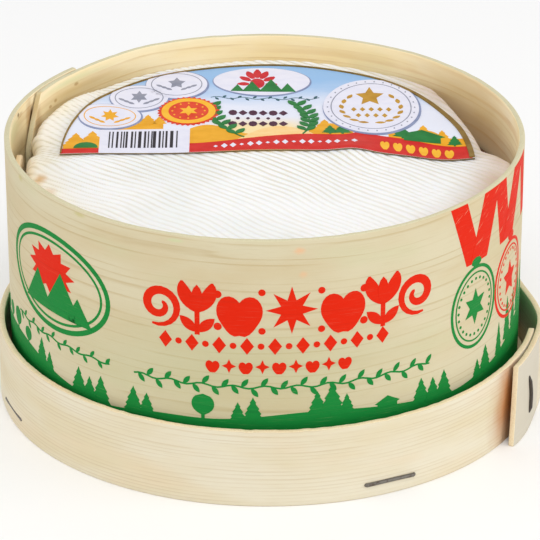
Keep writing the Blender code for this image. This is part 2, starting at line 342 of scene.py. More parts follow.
class SpruceGrain:
    """The grain of peeled spruce: growth lines along the strip, fine fibres and cloudy tone."""

    _group: bpy.types.NodeTree | None = None

    @classmethod
    def group(cls) -> bpy.types.NodeTree:
        """Builds the group once and gives it back afterwards."""
        if cls._group is None:
            cls._group = cls._build()
        return cls._group

    @staticmethod
    def _build() -> bpy.types.NodeTree:
        """Builds the grain on a vector in millimetres, its first axis along the wood.

        Returns:
            The node group.
        """
        inputs = {
            "Vector": ("Vector", 0.0),
            "Pitch": ("Float", 2.2),
            "Waviness": ("Float", 1.0),
            "Line Width": ("Float", 0.4),
        }
        outputs = {"Lines": "Float", "Fibres": "Float", "Tone": "Float", "Height": "Float"}
        shader = new_group("spruce_grain", inputs, outputs)
        given = shader.node("NodeGroupInput").outputs
        vector = given["Vector"]
        _, across, _ = shader.split(vector)
        slow = shader.noise(shader.stretch(vector, 0.012, 0.05, 0.0), detail=2.0)
        drift = shader.math("MULTIPLY", shader.math("SUBTRACT", slow, 0.5), given["Waviness"])
        pitch_noise = shader.noise(shader.stretch(vector, 0.0008, 0.3, 0.0), detail=1.0)
        uneven = shader.math("MULTIPLY", pitch_noise, 2.2)
        position = shader.math("DIVIDE", across, given["Pitch"])
        position = shader.math("ADD", position, uneven)
        position = shader.math("ADD", position, shader.math("MULTIPLY", drift, 6.0))
        saw = shader.math("FRACT", position)
        start = shader.math("SUBTRACT", 1.0, given["Line Width"])
        rise = shader.math("DIVIDE", shader.math("SUBTRACT", saw, start), given["Line Width"], clamp=True)
        fall = shader.span(saw, 0.93, 1.0, 1.0, 0.0)
        strength = shader.noise(shader.stretch(vector, 0.03, 0.22, 0.0), detail=3.0, roughness=0.6)
        lines = shader.math("MULTIPLY", rise, fall)
        lines = shader.math("MULTIPLY", lines, shader.span(strength, 0.32, 0.62))
        fibres = shader.noise(shader.stretch(vector, 0.12, 5.0, 0.0), detail=4.0, roughness=0.65)
        tone = shader.noise(shader.stretch(vector, 0.02, 0.07, 0.0), detail=4.0, roughness=0.55)
        height = shader.math("ADD", shader.math("MULTIPLY", lines, 0.5), shader.math("MULTIPLY", fibres, 0.5))
        return close_group(shader, {"Lines": lines, "Fibres": fibres, "Tone": tone, "Height": height})


@dataclass(frozen=True)
class StainOrShade:
    """A soft coloured spot, placed by the first two axes of a material's vector in millimetres, used both for
    real stains and for painted shade.
    """

    centre: Point
    size: Point
    colour: Colour
    strength: float = 0.7
    soft: float = 0.7

    def over(self, shader: Shader, vector: Socket, ground: Socket) -> Socket:
        """Lays the spot over a colour.

        Args:
            shader: the material's tree.
            vector: where the spot is read, in millimetres.
            ground: the colour under it.

        Returns:
            The stained colour.
        """
        away = shader.node("ShaderNodeVectorMath", {0: vector, 1: (*self.centre, 0.0)}, operation="SUBTRACT")
        scaled = shader.stretch(away.outputs[0], 1 / self.size[0], 1 / self.size[1], 0.0)
        reach = shader.node("ShaderNodeVectorMath", {0: scaled}, operation="LENGTH").outputs["Value"]
        ragged = shader.noise(shader.stretch(scaled, 1.6, 1.6, 0.0), detail=2.0)
        reach = shader.math("ADD", reach, shader.math("MULTIPLY", shader.math("SUBTRACT", ragged, 0.5), 0.5))
        return shader.mix(shader.span(reach, 1.0, 1.0 - self.soft, 0.0, self.strength), ground, self.colour)


@dataclass(frozen=True)
class SpruceFace:
    """The flat face of a spruce strip, bare or under ink."""

    name: str
    pale: Colour
    warm: Colour
    line: Colour
    fibre: Colour
    pitch: float
    line_share: float = 0.55
    line_width: float = 0.25
    waviness: float = 0.35
    cast: Colour = srgb(214, 206, 164)
    cast_share: float = 0.45
    fibre_share: float = 0.35
    stains_and_shade: tuple[StainOrShade, ...] = ()
    ink: Colour | None = None
    ink_gaps: float = 0.35
    scuffed_from: float | None = None
    roughness: float = 0.62
    specular: float = 0.2
    depth: float = 0.06 * MM

    def material(self) -> Material:
        """Builds the material on the strip's own UV map.

        Returns:
            The material.
        """
        material, shader, target = new_material(self.name)
        vector = strip_coordinates(shader)
        sizes = {
            "Vector": vector,
            "Pitch": self.pitch,
            "Waviness": self.waviness,
            "Line Width": self.line_width,
        }
        grain = shader.node("ShaderNodeGroup", sizes, node_tree=SpruceGrain.group())
        lines, fibres, tone = (grain.outputs[name] for name in ("Lines", "Fibres", "Tone"))
        wood = shader.mix(shader.span(tone, 0.35, 0.68), self.pale, self.warm)
        clouds = shader.noise(shader.stretch(vector, 0.035, 0.1, 0.0), detail=2.0)
        wood = shader.mix(shader.span(clouds, 0.5, 0.7, 0.0, self.cast_share), wood, self.cast)
        fine = shader.math("MULTIPLY", shader.span(fibres, 0.52, 0.72), self.fibre_share)
        wood = shader.mix(fine, wood, self.fibre)
        wood = shader.mix(shader.math("MULTIPLY", lines, self.line_share), wood, self.line)
        for stain_or_shade in self.stains_and_shade:
            wood = stain_or_shade.over(shader, vector, wood)
        if self.ink is not None:
            worn = shader.math("MULTIPLY", shader.span(fibres, 0.56, 0.78), self.ink_gaps)
            if self.scuffed_from is not None:
                worn = shader.math("MAXIMUM", worn, self.scuffs(shader, vector))
            deep = shader.mix(shader.span(lines, 0.1, 0.9, 0.0, 0.3), self.ink, self.line)
            wood = shader.mix(worn, deep, wood)
        rough = shader.span(fibres, 0.3, 0.8, self.roughness - 0.06, self.roughness + 0.1)
        shader.feed(target, {"Base Color": wood, "Roughness": rough, "Specular IOR Level": self.specular})
        add_bump(shader, target, grain.outputs["Height"], self.depth)
        return material

    def scuffs(self, shader: Shader, vector: Socket) -> Socket:
        """Thin slanting scuffs through the ink, from some distance along the strip onwards.

        Args:
            shader: the material's tree.
            vector: the strip's UV in millimetres.

        Returns:
            The share of the ink that is gone.
        """
        along, up, _ = shader.split(vector)
        across = shader.math("SUBTRACT", up, shader.math("MULTIPLY", along, 0.62))
        slanted = shader.node("ShaderNodeCombineXYZ", {0: along, 1: across}).outputs[0]
        thin = shader.noise(shader.stretch(slanted, 0.16, 1.9, 0.0), detail=3.0, roughness=0.6)
        here = shader.span(along, self.scuffed_from, self.scuffed_from + 6.0)
        return shader.math("MULTIPLY", shader.span(thin, 0.63, 0.7, 0.0, 0.75), here)


@dataclass(frozen=True)
class SawnWood:
    """Sawn spruce: end grain on a rim, or the face of a disc."""

    name: str
    pale: Colour
    dark: Colour
    stretch: tuple[float, float, float]
    contrast: float = 0.5
    stains_and_shade: tuple[StainOrShade, ...] = ()

    def material(self) -> Material:
        """Builds the material on Object coordinates.

        Returns:
            The material.
        """
        material, shader, target = new_material(self.name)
        vector = object_coordinates(shader)
        streaks = shader.noise(shader.stretch(vector, *self.stretch), detail=5.0, roughness=0.6)
        clouds = shader.noise(shader.stretch(vector, 0.08, 0.08, 0.08), detail=3.0)
        share = shader.math("MULTIPLY", shader.span(streaks, 0.42, 0.72), self.contrast)
        wood = shader.mix(share, self.pale, self.dark)
        wood = shader.mix(shader.span(clouds, 0.45, 0.75, 0.0, 0.2), wood, self.dark)
        for stain_or_shade in self.stains_and_shade:
            wood = stain_or_shade.over(shader, vector, wood)
        rough = shader.span(streaks, 0.3, 0.8, 0.66, 0.8)
        shader.feed(target, {"Base Color": wood, "Roughness": rough, "Specular IOR Level": 0.2})
        add_bump(shader, target, streaks, 0.08 * MM)
        return material


@dataclass(frozen=True)
class Rind:
    """The white washed rind, with darker, yellower valleys between the cloth's ridges: partly the rind's own
    tone, partly painted shade in the grooves.
    """

    name: str = "washed_rind"
    crest: Colour = srgb(246, 246, 246)
    valley: Colour = srgb(206, 195, 163)
    grey: Colour = srgb(232, 235, 234)
    blush: Colour = srgb(196, 162, 138)
    cream: Colour = srgb(247, 236, 212)
    spot: Colour = srgb(190, 130, 70)
    stains_and_shade: tuple[StainOrShade, ...] = (
        StainOrShade((-49.6, -10.5), (2.2, 3.6), srgb(206, 156, 78), 0.7, 0.95),
        StainOrShade((-47.5, -17.5), (2.6, 3.6), srgb(216, 186, 146), 0.5, 0.9),
        StainOrShade((-43.5, 1.5), (5.5, 2.2), srgb(228, 206, 160), 0.45, 0.9),
    )

    def material(self) -> Material:
        """Builds the material on Object coordinates and the relief attribute.

        Returns:
            The material.
        """
        material, shader, target = new_material(self.name)
        vector = object_coordinates(shader)
        relief = shader.node("ShaderNodeAttribute", attribute_name=RELIEF).outputs["Fac"]
        x, y, _ = shader.split(vector)
        patches = shader.noise(shader.stretch(vector, 0.07, 0.09, 0.09), detail=3.0)
        broad = shader.noise(shader.stretch(vector, 0.035, 0.03, 0.03), detail=2.0)
        fine = shader.noise(shader.stretch(vector, 1.4, 1.4, 1.4), detail=4.0, roughness=0.65)
        near_label = shader.span(y, -40.0, 4.0, 0.3, 0.72)
        # The valleys are painted darker and yellower: partly the rind's tone, partly painted shade in the
        # grooves.
        valley = shader.span(relief, 0.5, 0.0)
        evenness = shader.span(patches, 0.3, 0.6, 0.55, 1.0)
        share = shader.math("MULTIPLY", valley, shader.math("MULTIPLY", near_label, evenness))
        skin = shader.mix(shader.span(broad, 0.42, 0.62, 0.0, 0.5), self.crest, self.grey)
        plan = shader.stretch(vector, 1.0, 1.0, 0.0)
        reach = shader.node("ShaderNodeVectorMath", {0: plan}, operation="LENGTH").outputs["Value"]
        edge = shader.span(reach, 42.0, 54.0)
        mottled = shader.span(patches, 0.3, 0.7, 0.55, 0.95)
        left = shader.math("MULTIPLY", edge, shader.span(x, -26.0, -48.0))
        skin = shader.mix(shader.math("MULTIPLY", left, mottled), skin, self.cream)
        right = shader.math("MULTIPLY", edge, shader.span(x, 18.0, 50.0))
        skin = shader.mix(shader.math("MULTIPLY", right, mottled), skin, self.blush)
        skin = shader.mix(share, skin, self.valley)
        for stain_or_shade in self.stains_and_shade:
            skin = stain_or_shade.over(shader, vector, skin)
        specks = shader.noise(shader.stretch(vector, 0.5, 0.5, 0.5), detail=2.0)
        skin = shader.mix(shader.span(specks, 0.73, 0.82, 0.0, 0.35), skin, self.spot)
        finish = {
            "Base Color": skin,
            "Roughness": shader.span(fine, 0.3, 0.7, 0.6, 0.8),
            "Subsurface Weight": 0.12,
            "Subsurface Radius": (0.0015, 0.0011, 0.0007),
            "Subsurface Scale": 1.0,
            "Specular IOR Level": 0.3,
        }
        shader.feed(target, finish)
        add_bump(shader, target, fine, 0.12 * MM)
        return material


@dataclass(frozen=True)
class Bark:
    """The strip of inner bark: brown and fibrous, paler along its cut edge."""

    name: str = "inner_bark"
    brown: Colour = srgb(112, 72, 44)
    dark: Colour = srgb(62, 38, 22)
    pale: Colour = srgb(226, 202, 162)

    def material(self) -> Material:
        """Builds the material on the strip's own UV map.

        Returns:
            The material.
        """
        material, shader, target = new_material(self.name)
        vector = strip_coordinates(shader)
        _, height, _ = shader.split(vector)
        fibres = shader.noise(shader.stretch(vector, 0.15, 2.2, 1.0), detail=5.0, roughness=0.7)
        clouds = shader.noise(shader.stretch(vector, 0.06, 0.2, 0.1), detail=3.0)
        bark = shader.mix(shader.span(fibres, 0.35, 0.65), self.dark, self.brown)
        edge = shader.math("ADD", height, shader.math("MULTIPLY", clouds, 2.0))
        bark = shader.mix(shader.span(edge, 50.0, 53.0), bark, self.pale)
        shader.feed(target, {"Base Color": bark, "Roughness": shader.span(fibres, 0.2, 0.8, 0.7, 0.92)})
        add_bump(shader, target, fibres, 0.3 * MM)
        return material


@dataclass(frozen=True)
class StapleSteel:
    """Dull staple wire with brown tarnish."""

    name: str = "staple_wire"
    bright: Colour = srgb(120, 116, 110)
    tarnish: Colour = srgb(70, 52, 38)
    tarnish_share: float = 0.5

    def material(self) -> Material:
        """Builds the material on Object coordinates.

        Returns:
            The material.
        """
        material, shader, target = new_material(self.name)
        vector = object_coordinates(shader)
        patches = shader.noise(shader.stretch(vector, 0.9, 0.9, 0.9), detail=4.0, roughness=0.6)
        scratches = shader.noise(shader.stretch(vector, 6.0, 6.0, 0.7), detail=3.0)
        low = 0.75 - self.tarnish_share * 0.6
        brown = shader.span(patches, low, low + 0.2)
        metal = shader.mix(brown, self.bright, self.tarnish)
        bare = shader.math("SUBTRACT", 0.9, brown, clamp=True)
        rough = shader.span(scratches, 0.3, 0.7, 0.3, 0.5)
        shader.feed(target, {"Base Color": metal, "Metallic": bare, "Roughness": rough})
        add_bump(shader, target, scratches, 0.02 * MM)
        return material


@dataclass(frozen=True)
class LabelPaper:
    """Coated paper printed with a sky that fades to lavender and a yellow glow."""

    name: str = "label_sky"
    sky: Colour = srgb(150, 190, 232)
    haze: Colour = srgb(230, 233, 247)
    glow: Colour = srgb(250, 226, 170)

    def material(self) -> Material:
        """Builds the material on Object coordinates.

        Returns:
            The material.
        """
        material, shader, target = new_material(self.name)
        vector = object_coordinates(shader)
        x, y, _ = shader.split(vector)
        wisps = shader.noise(shader.stretch(vector, 0.05, 0.12, 0.0), detail=3.0)
        rise = shader.math("ADD", y, shader.math("MULTIPLY", wisps, 14.0))
        sky = shader.mix(shader.span(rise, 31.0, 50.0), self.haze, self.sky)
        side = shader.math("ABSOLUTE", shader.math("SUBTRACT", x, -1.0))
        near = shader.math("MULTIPLY", shader.span(side, 14.0, 5.0), shader.span(y, 22.0, 14.0))
        sky = shader.mix(near, sky, self.glow)
        rough = shader.span(wisps, 0.3, 0.7, 0.42, 0.5)
        shader.feed(target, {"Base Color": sky, "Roughness": rough, "Specular IOR Level": 0.2})
        return material


@dataclass(frozen=True)
class LabelInk:
    """One printed colour on the label, with the faint unevenness of print."""

    name: str
    colour: Colour
    shade: Colour

    def material(self) -> Material:
        """Builds the material on Object coordinates.

        Returns:
            The material.
        """
        material, shader, target = new_material(self.name)
        vector = object_coordinates(shader)
        uneven = shader.noise(shader.stretch(vector, 0.25, 0.4, 0.0), detail=3.0)
        ink = shader.mix(shader.span(uneven, 0.35, 0.7, 0.0, 0.8), self.colour, self.shade)
        rough = shader.span(uneven, 0.3, 0.7, 0.42, 0.5)
        shader.feed(target, {"Base Color": ink, "Roughness": rough, "Specular IOR Level": 0.2})
        return material


@dataclass(frozen=True)
class StudioFloor:
    """The pale floor."""

    name: str = "studio_floor"
    colour: Colour = srgb(250, 250, 250)

    def material(self) -> Material:
        """Builds the material on Object coordinates.

        Returns:
            The material.
        """
        material, shader, target = new_material(self.name)
        vector = object_coordinates(shader)
        clouds = shader.noise(shader.stretch(vector, 0.01, 0.01, 0.01), detail=2.0)
        shade = shader.mix(shader.span(clouds, 0.3, 0.7, 0.0, 0.1), self.colour, srgb(244, 244, 244))
        shader.feed(target, {"Base Color": shade, "Roughness": 0.9, "Specular IOR Level": 0.1})
        return material


def make_piece(
    name: str,
    bm: bmesh.types.BMesh,
    slot: Slot,
    materials: Sequence[Material],
    stands_for: Sequence[str] = (),
) -> bpy.types.Object:
    """Turns a bmesh into a piece that rides on the body.

    Args:
        name: the piece's name.
        bm: its mesh, which is freed.
        slot: the record's slot; not used.
        materials: its materials in order.
        stands_for: the CAD nodes that it replaces.

    Returns:
        The new object.
    """
    mesh = bpy.data.meshes.new(name)
    bm.to_mesh(mesh)
    bm.free()
    mesh.shade_smooth()
    mesh.set_sharp_from_angle(angle=SHARP_ANGLE)
    for material in materials:
        mesh.materials.append(material)
    piece = bpy.data.objects.new(name, mesh)
    bpy.context.scene.collection.objects.link(piece)
    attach(piece, BODY)
    if stands_for:
        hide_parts(*stands_for)
    LOG.info("%s: %d faces", name, len(mesh.polygons))
    return piece


def give_thickness(piece: bpy.types.Object, thickness: float, round_over: float = 0.0) -> None:
    """Thickens a sheet evenly to both sides and rounds its edges.

    Args:
        piece: the open sheet, whose second material goes on the cut edge and third on the far face.
        thickness: the full thickness.
        round_over: the width of the rounded edge, 0 for a square one.
    """
    solid = piece.modifiers.new("thickness", "SOLIDIFY")
    solid.thickness = thickness
    solid.offset = 0.0
    solid.material_offset_rim = 1
    if len(piece.data.materials) > 2:
        solid.material_offset = 2
    if round_over > 0:
        bevel = piece.modifiers.new("round_over", "BEVEL")
        bevel.width = round_over
        bevel.segments = 2
        bevel.limit_method = "ANGLE"
        bevel.angle_limit = ROUNDED_ANGLE
        bevel.harden_normals = False


def make_strip(
    columns: int, rows: int, place: Callable[[float, float], tuple[Vector, Point]]
) -> bmesh.types.BMesh:
    """Bends a grid into a strip with its own UV map.

    Args:
        columns: faces along the strip.
        rows: faces up the strip.
        place: gives the point and the UV, both in metres, for u and v from 0 to 1.

    Returns:
        The strip's middle surface.
    """
    bm = bmesh.new()
    bmesh.ops.create_grid(bm, x_segments=columns, y_segments=rows, size=0.5)
    layer = bm.loops.layers.uv.new(STRIP_UV)
    places = {vertex: place(vertex.co.x + 0.5, vertex.co.y + 0.5) for vertex in bm.verts}
    for face in bm.faces:
        for loop in face.loops:
            loop[layer].uv = places[loop.vert][1]
    for vertex, (point, _) in places.items():
        vertex.co = point
    return bm


def bent_wire(path: Sequence[Vector], radius: float, sides: int = 12) -> bmesh.types.BMesh:
    """Runs a round wire through some points, closed at both ends.

    Args:
        path: the points on the wire's axis.
        radius: the wire's radius.
        sides: sides of its section.

    Returns:
        The closed wire.
    """
    bm = bmesh.new()
    steps = [(after - before).normalized() for before, after in zip(path, path[1:])]
    turns = [(one + two).normalized() for one, two in zip([steps[0], *steps], [*steps, steps[-1]])]
    start = Matrix.Translation(path[0]) @ turns[0].to_track_quat("Z", "Y").to_matrix().to_4x4()
    bmesh.ops.create_circle(bm, cap_ends=True, segments=sides, radius=radius, matrix=start)
    cap = next(iter(bm.faces))
    for here, there, before, after in zip(path, path[1:], turns, turns[1:]):
        made = bmesh.ops.extrude_face_region(bm, geom=[cap])["geom"]
        cap = next(item for item in made if isinstance(item, bmesh.types.BMFace))
        turn = before.rotation_difference(after)
        for vertex in cap.verts:
            vertex.co = there + turn @ (vertex.co - here)
    bmesh.ops.recalc_face_normals(bm, faces=bm.faces)
    return bm


def straight(start: Point, end: Point) -> Callable[[float], Point]:
    """The straight path between two points."""
    first, last = Vector(start), Vector(end)
    return lambda share: tuple(first.lerp(last, share))


class FlatPrint:
    """Printed shapes, drawn flat in millimetres as thin solids and then bent on to a surface.

    A shape reaches a little below the surface, and each level stands a little higher, so that
    shapes may lie over each other.
    """

    SUNK = 0.05
    FIRST_LEVEL = 0.035
    LEVEL_STEP = 0.028
    CUT_SHIFT = 0.013
    CUT_TOLERANCE = 1e-5

    def __init__(self) -> None:
        """Starts an empty sheet."""
        self.bm = bmesh.new()

    def _raise(self, faces: list[bmesh.types.BMFace], level: int) -> None:
        """Turns flat faces into a thin solid.

        Args:
            faces: the new shape's faces.
            level: how many layers of ink lie under it.
        """
        cut = bmesh.ops.triangulate(self.bm, faces=faces, ngon_method="EAR_CLIP")["faces"]
        made = bmesh.ops.extrude_face_region(self.bm, geom=cut)["geom"]
        top = [item for item in made if isinstance(item, bmesh.types.BMVert)]
        for vertex in top:
            vertex.co.z = self.FIRST_LEVEL + level * self.LEVEL_STEP
        bottom = {vertex for face in cut if face.is_valid for vertex in face.verts} - set(top)
        for vertex in bottom:
            vertex.co.z = -self.SUNK

    def blob(
        self,
        centre: Point,
        size: Point,
        outline: Callable[[float], float] = lambda angle: 1.0,
        points: int = 28,
        lean: float = 0.0,
        level: int = 0,
    ) -> None:
        """Draws a filled shape whose edge is given as a radius by angle.

        Args:
            centre: its middle.
            size: its half width and half height.
            outline: the edge's radius, about 1, for an angle in radians.
            points: points round its edge.
            lean: degrees that it is turned counterclockwise.
            level: how many layers of ink lie under it.
        """
        made = bmesh.ops.create_circle(self.bm, cap_ends=True, segments=points, radius=1.0)["verts"]
        turn = Matrix.Rotation(math.radians(lean), 2)
        for vertex in made:
            angle = math.atan2(vertex.co.y, vertex.co.x)
            reach = outline(angle)
            flat = turn @ Vector((reach * math.cos(angle) * size[0], reach * math.sin(angle) * size[1]))
            vertex.co = (centre[0] + flat.x, centre[1] + flat.y, 0.0)
        self._raise(list({face for vertex in made for face in vertex.link_faces}), level)

    def ring(self, centre: Point, size: Point, width: float, points: int = 64, level: int = 0) -> None:
        """Draws an oval ring.

        Args:
            centre: its middle.
            size: its outer half width and half height.
            width: the width of its line.
            points: points round it.
            level: how many layers of ink lie under it.
        """
        made = bmesh.ops.create_circle(self.bm, cap_ends=True, segments=points, radius=1.0)["verts"]
        for vertex in made:
            vertex.co = (centre[0] + vertex.co.x * size[0], centre[1] + vertex.co.y * size[1], 0.0)
        disc = made[0].link_faces[0]
        inset = {"thickness": width, "use_boundary": True, "use_even_offset": True}
        band = bmesh.ops.inset_region(self.bm, faces=[disc], **inset)
        bmesh.ops.delete(self.bm, geom=[disc], context="FACES")
        self._raise(band["faces"], level)

    def stroke(
        self,
        path: Callable[[float], Point],
        width: Callable[[float], float],
        steps: int = 16,
        level: int = 0,
        across: Point | None = None,
    ) -> None:
        """Draws a stroke along a path.

        Args:
            path: the point at a share from 0 to 1 of the stroke.
            width: the stroke's full width there, which is kept over nothing.
            steps: straight pieces along it.
            level: how many layers of ink lie under it.
            across: the direction of its ends, or none for square ends.
        """
        thinnest = 0.03
        nudge = 1e-3
        made = bmesh.ops.create_grid(self.bm, x_segments=steps, y_segments=1, size=0.5)["verts"]
        for vertex in made:
            share = vertex.co.x + 0.5
            side = vertex.co.y
            here = Vector(path(share))
            run = Vector(path(min(share + nudge, 1.0))) - Vector(path(max(share - nudge, 0.0)))
            normal = Vector(across or (-run.y, run.x)).normalized()
            flat = here + normal * side * max(width(share), thinnest)
            vertex.co = (flat.x, flat.y, 0.0)
        self._raise(list({face for vertex in made for face in vertex.link_faces}), level)

    def line(
        self,
        start: Point,
        end: Point,
        width: Callable[[float], float],
        steps: int = 8,
        level: int = 0,
    ) -> None:
        """Draws a straight stroke.

        Args:
            start: where it starts.
            end: where it ends.
            width: its full width at a share from 0 to 1.
            steps: straight pieces along it.
            level: how many layers of ink lie under it.
        """
        self.stroke(straight(start, end), width, steps, level)

    def bend(self, place: Callable[[float, float, float], Vector], pitch: Point) -> bmesh.types.BMesh:
        """Cuts the sheet into narrow strips and lays it on a surface.

        The cuts are shifted a little, so that they don't meet the corners of the shapes.

        Args:
            place: the point in metres for a flat x, y and height over the surface in millimetres.
            pitch: the distance between cuts along x and y, 0 for none.

        Returns:
            The bent sheet.
        """
        bm = self.bm
        for axis, distance in enumerate(pitch):
            if distance <= 0:
                continue
            low = min(vertex.co[axis] for vertex in bm.verts)
            high = max(vertex.co[axis] for vertex in bm.verts)
            normal = (1.0, 0.0, 0.0) if axis == 0 else (0.0, 1.0, 0.0)
            for step in range(math.ceil(low / distance), math.floor(high / distance) + 1):
                cut = {"plane_co": Vector(normal) * (step * distance + self.CUT_SHIFT), "plane_no": normal}
                geometry = [*bm.verts, *bm.edges, *bm.faces]
                bmesh.ops.bisect_plane(bm, geom=geometry, dist=self.CUT_TOLERANCE, **cut)
        bmesh.ops.recalc_face_normals(bm, faces=bm.faces)
        layer = bm.loops.layers.uv.new(STRIP_UV)
        for face in bm.faces:
            for loop in face.loops:
                loop[layer].uv = (loop.vert.co.x * MM, loop.vert.co.y * MM)
        for vertex in bm.verts:
            vertex.co = place(*vertex.co)
        return bm


def heart_edge(angle: float) -> float:
    """The edge of a heart about its middle, as a radius by angle."""
    up = math.sin(angle)
    return 0.62 + 0.38 * abs(math.cos(angle)) ** 0.8 - 0.25 * max(up, 0) ** 6 + 0.45 * max(-up, 0) ** 5


def star_edge(points: int, depth: float) -> Callable[[float], float]:
    """The edge of a star whose points stand out.

    Args:
        points: how many points.
        depth: how far the valleys lie in, from 0 to 1.

    Returns:
        The radius by angle.
    """
    def edge(angle: float) -> float:
        """The radius at an angle."""
        share = (angle - math.pi / 2) * points / math.tau % 1.0
        return 1.0 - depth * (1 - abs(2 * share - 1))

    return edge


def draw_leaf(sheet: FlatPrint, base: Point, lean: float, length: float, level: int = 0) -> None:
    """Draws a pointed leaf.

    Args:
        sheet: the print.
        base: where its stalk is.
        lean: the direction of its tip in degrees.
        length: its length.
        level: how many layers of ink lie under it.
    """
    angle = math.radians(lean)
    tip = (base[0] + length * math.cos(angle), base[1] + length * math.sin(angle))
    sheet.line(base, tip, lambda t: 0.45 * length * math.sin(math.pi * t) ** 0.8, 7, level)


def draw_tulip(sheet: FlatPrint, foot: Point, height: float) -> None:
    """Draws a folk tulip on a stem with two leaves.

    Args:
        sheet: the print.
        foot: the foot of its stem.
        height: its height.
    """
    x, y = foot
    waist = y + 0.45 * height
    sheet.line((x, y), (x, waist), lambda t: 0.09 * height, 2)
    for side in (-1, 1):
        draw_leaf(sheet, (x, y + 0.05 * height), 90 - side * 48, 0.42 * height, 1)
        petal_top = (x + side * 0.27 * height, y + height)
        sheet.stroke(
            lambda t, s=side, top=petal_top: (
                x + (top[0] - x) * (1 - (1 - t) ** 2),
                waist + (top[1] - waist) * t,
            ),
            lambda t: 0.26 * height * math.sin(math.pi * min(t * 0.93 + 0.05, 1.0)) ** 0.7,
            9,
            1,
        )
    tip = (x, y + 0.95 * height)
    sheet.line((x, waist), tip, lambda t: 0.2 * height * math.sin(math.pi * t) ** 0.6, 7, 2)


def draw_scroll(sheet: FlatPrint, centre: Point, size: float, hand: int, width: float) -> None:
    """Draws a scroll that curls in once.

    Args:
        sheet: the print.
        centre: the middle of its curl.
        size: its outer radius.
        hand: 1 or -1, for the side that it opens to.
        width: the stroke's greatest width.
    """
    def path(t: float) -> Point:
        """The point at a share of the scroll."""
        angle = math.radians(-110 + 520 * t)
        reach = size * (1 - 0.78 * t)
        return centre[0] + hand * reach * math.cos(angle), centre[1] + reach * math.sin(angle)

    sheet.stroke(path, lambda t: width * (0.25 + 0.75 * math.sin(math.pi * t) ** 0.7), 30)


def plant_outline(kind: Plant) -> Callable[[float], float]:
    """The full width of a plant or a house by height, both as shares of its height.

    Args:
        kind: what it is.

    Returns:
        The width as a function of the height.
    """
    def fir(t: float) -> float:
        """Four skirts of branches over a short trunk."""
        if t < 0.1:
            return 0.1
        rise = (t - 0.1) / 0.9
        return 0.62 * (1 - rise) + 0.2 * (1 - (rise * 4 % 1.0)) * (1 - rise) ** 0.5

    def slim_fir(t: float) -> float:
        """A tall and narrow fir."""
        return 0.55 * fir(t)

    def round_tree(t: float) -> float:
        """A ball of leaves on a trunk."""
        if t < 0.28:
            return 0.12
        return 0.72 * math.sqrt(max(1 - (2 * (t - 0.28) / 0.72 - 1) ** 2, 0.0)) + 0.04

    def chalet(t: float) -> float:
        """A wide house under a low roof."""
        return 1.5 if t < 0.5 else 2.0 * (1 - t) / 0.5 * 0.95

    def bush(t: float) -> float:
        """A low mound."""
        return 1.7 * math.sqrt(max(1 - t * t, 0.0))

    return {
        Plant.FIR: fir,
        Plant.SLIM_FIR: slim_fir,
        Plant.ROUND_TREE: round_tree,
        Plant.CHALET: chalet,
        Plant.BUSH: bush,
    }[kind]


def draw_plant(sheet: FlatPrint, kind: Plant, foot: Point, height: float, level: int = 1) -> None:
    """Draws what stands on the meadow.

    Args:
        sheet: the print.
        kind: what it is.
        foot: where it stands.
        height: its height.
        level: how many layers of ink lie under it.
    """
    outline = plant_outline(kind)
    top = (foot[0], foot[1] + height)
    steps = 20 if kind in (Plant.FIR, Plant.SLIM_FIR) else 12
    sheet.line(foot, top, lambda t: height * outline(t), steps, level)


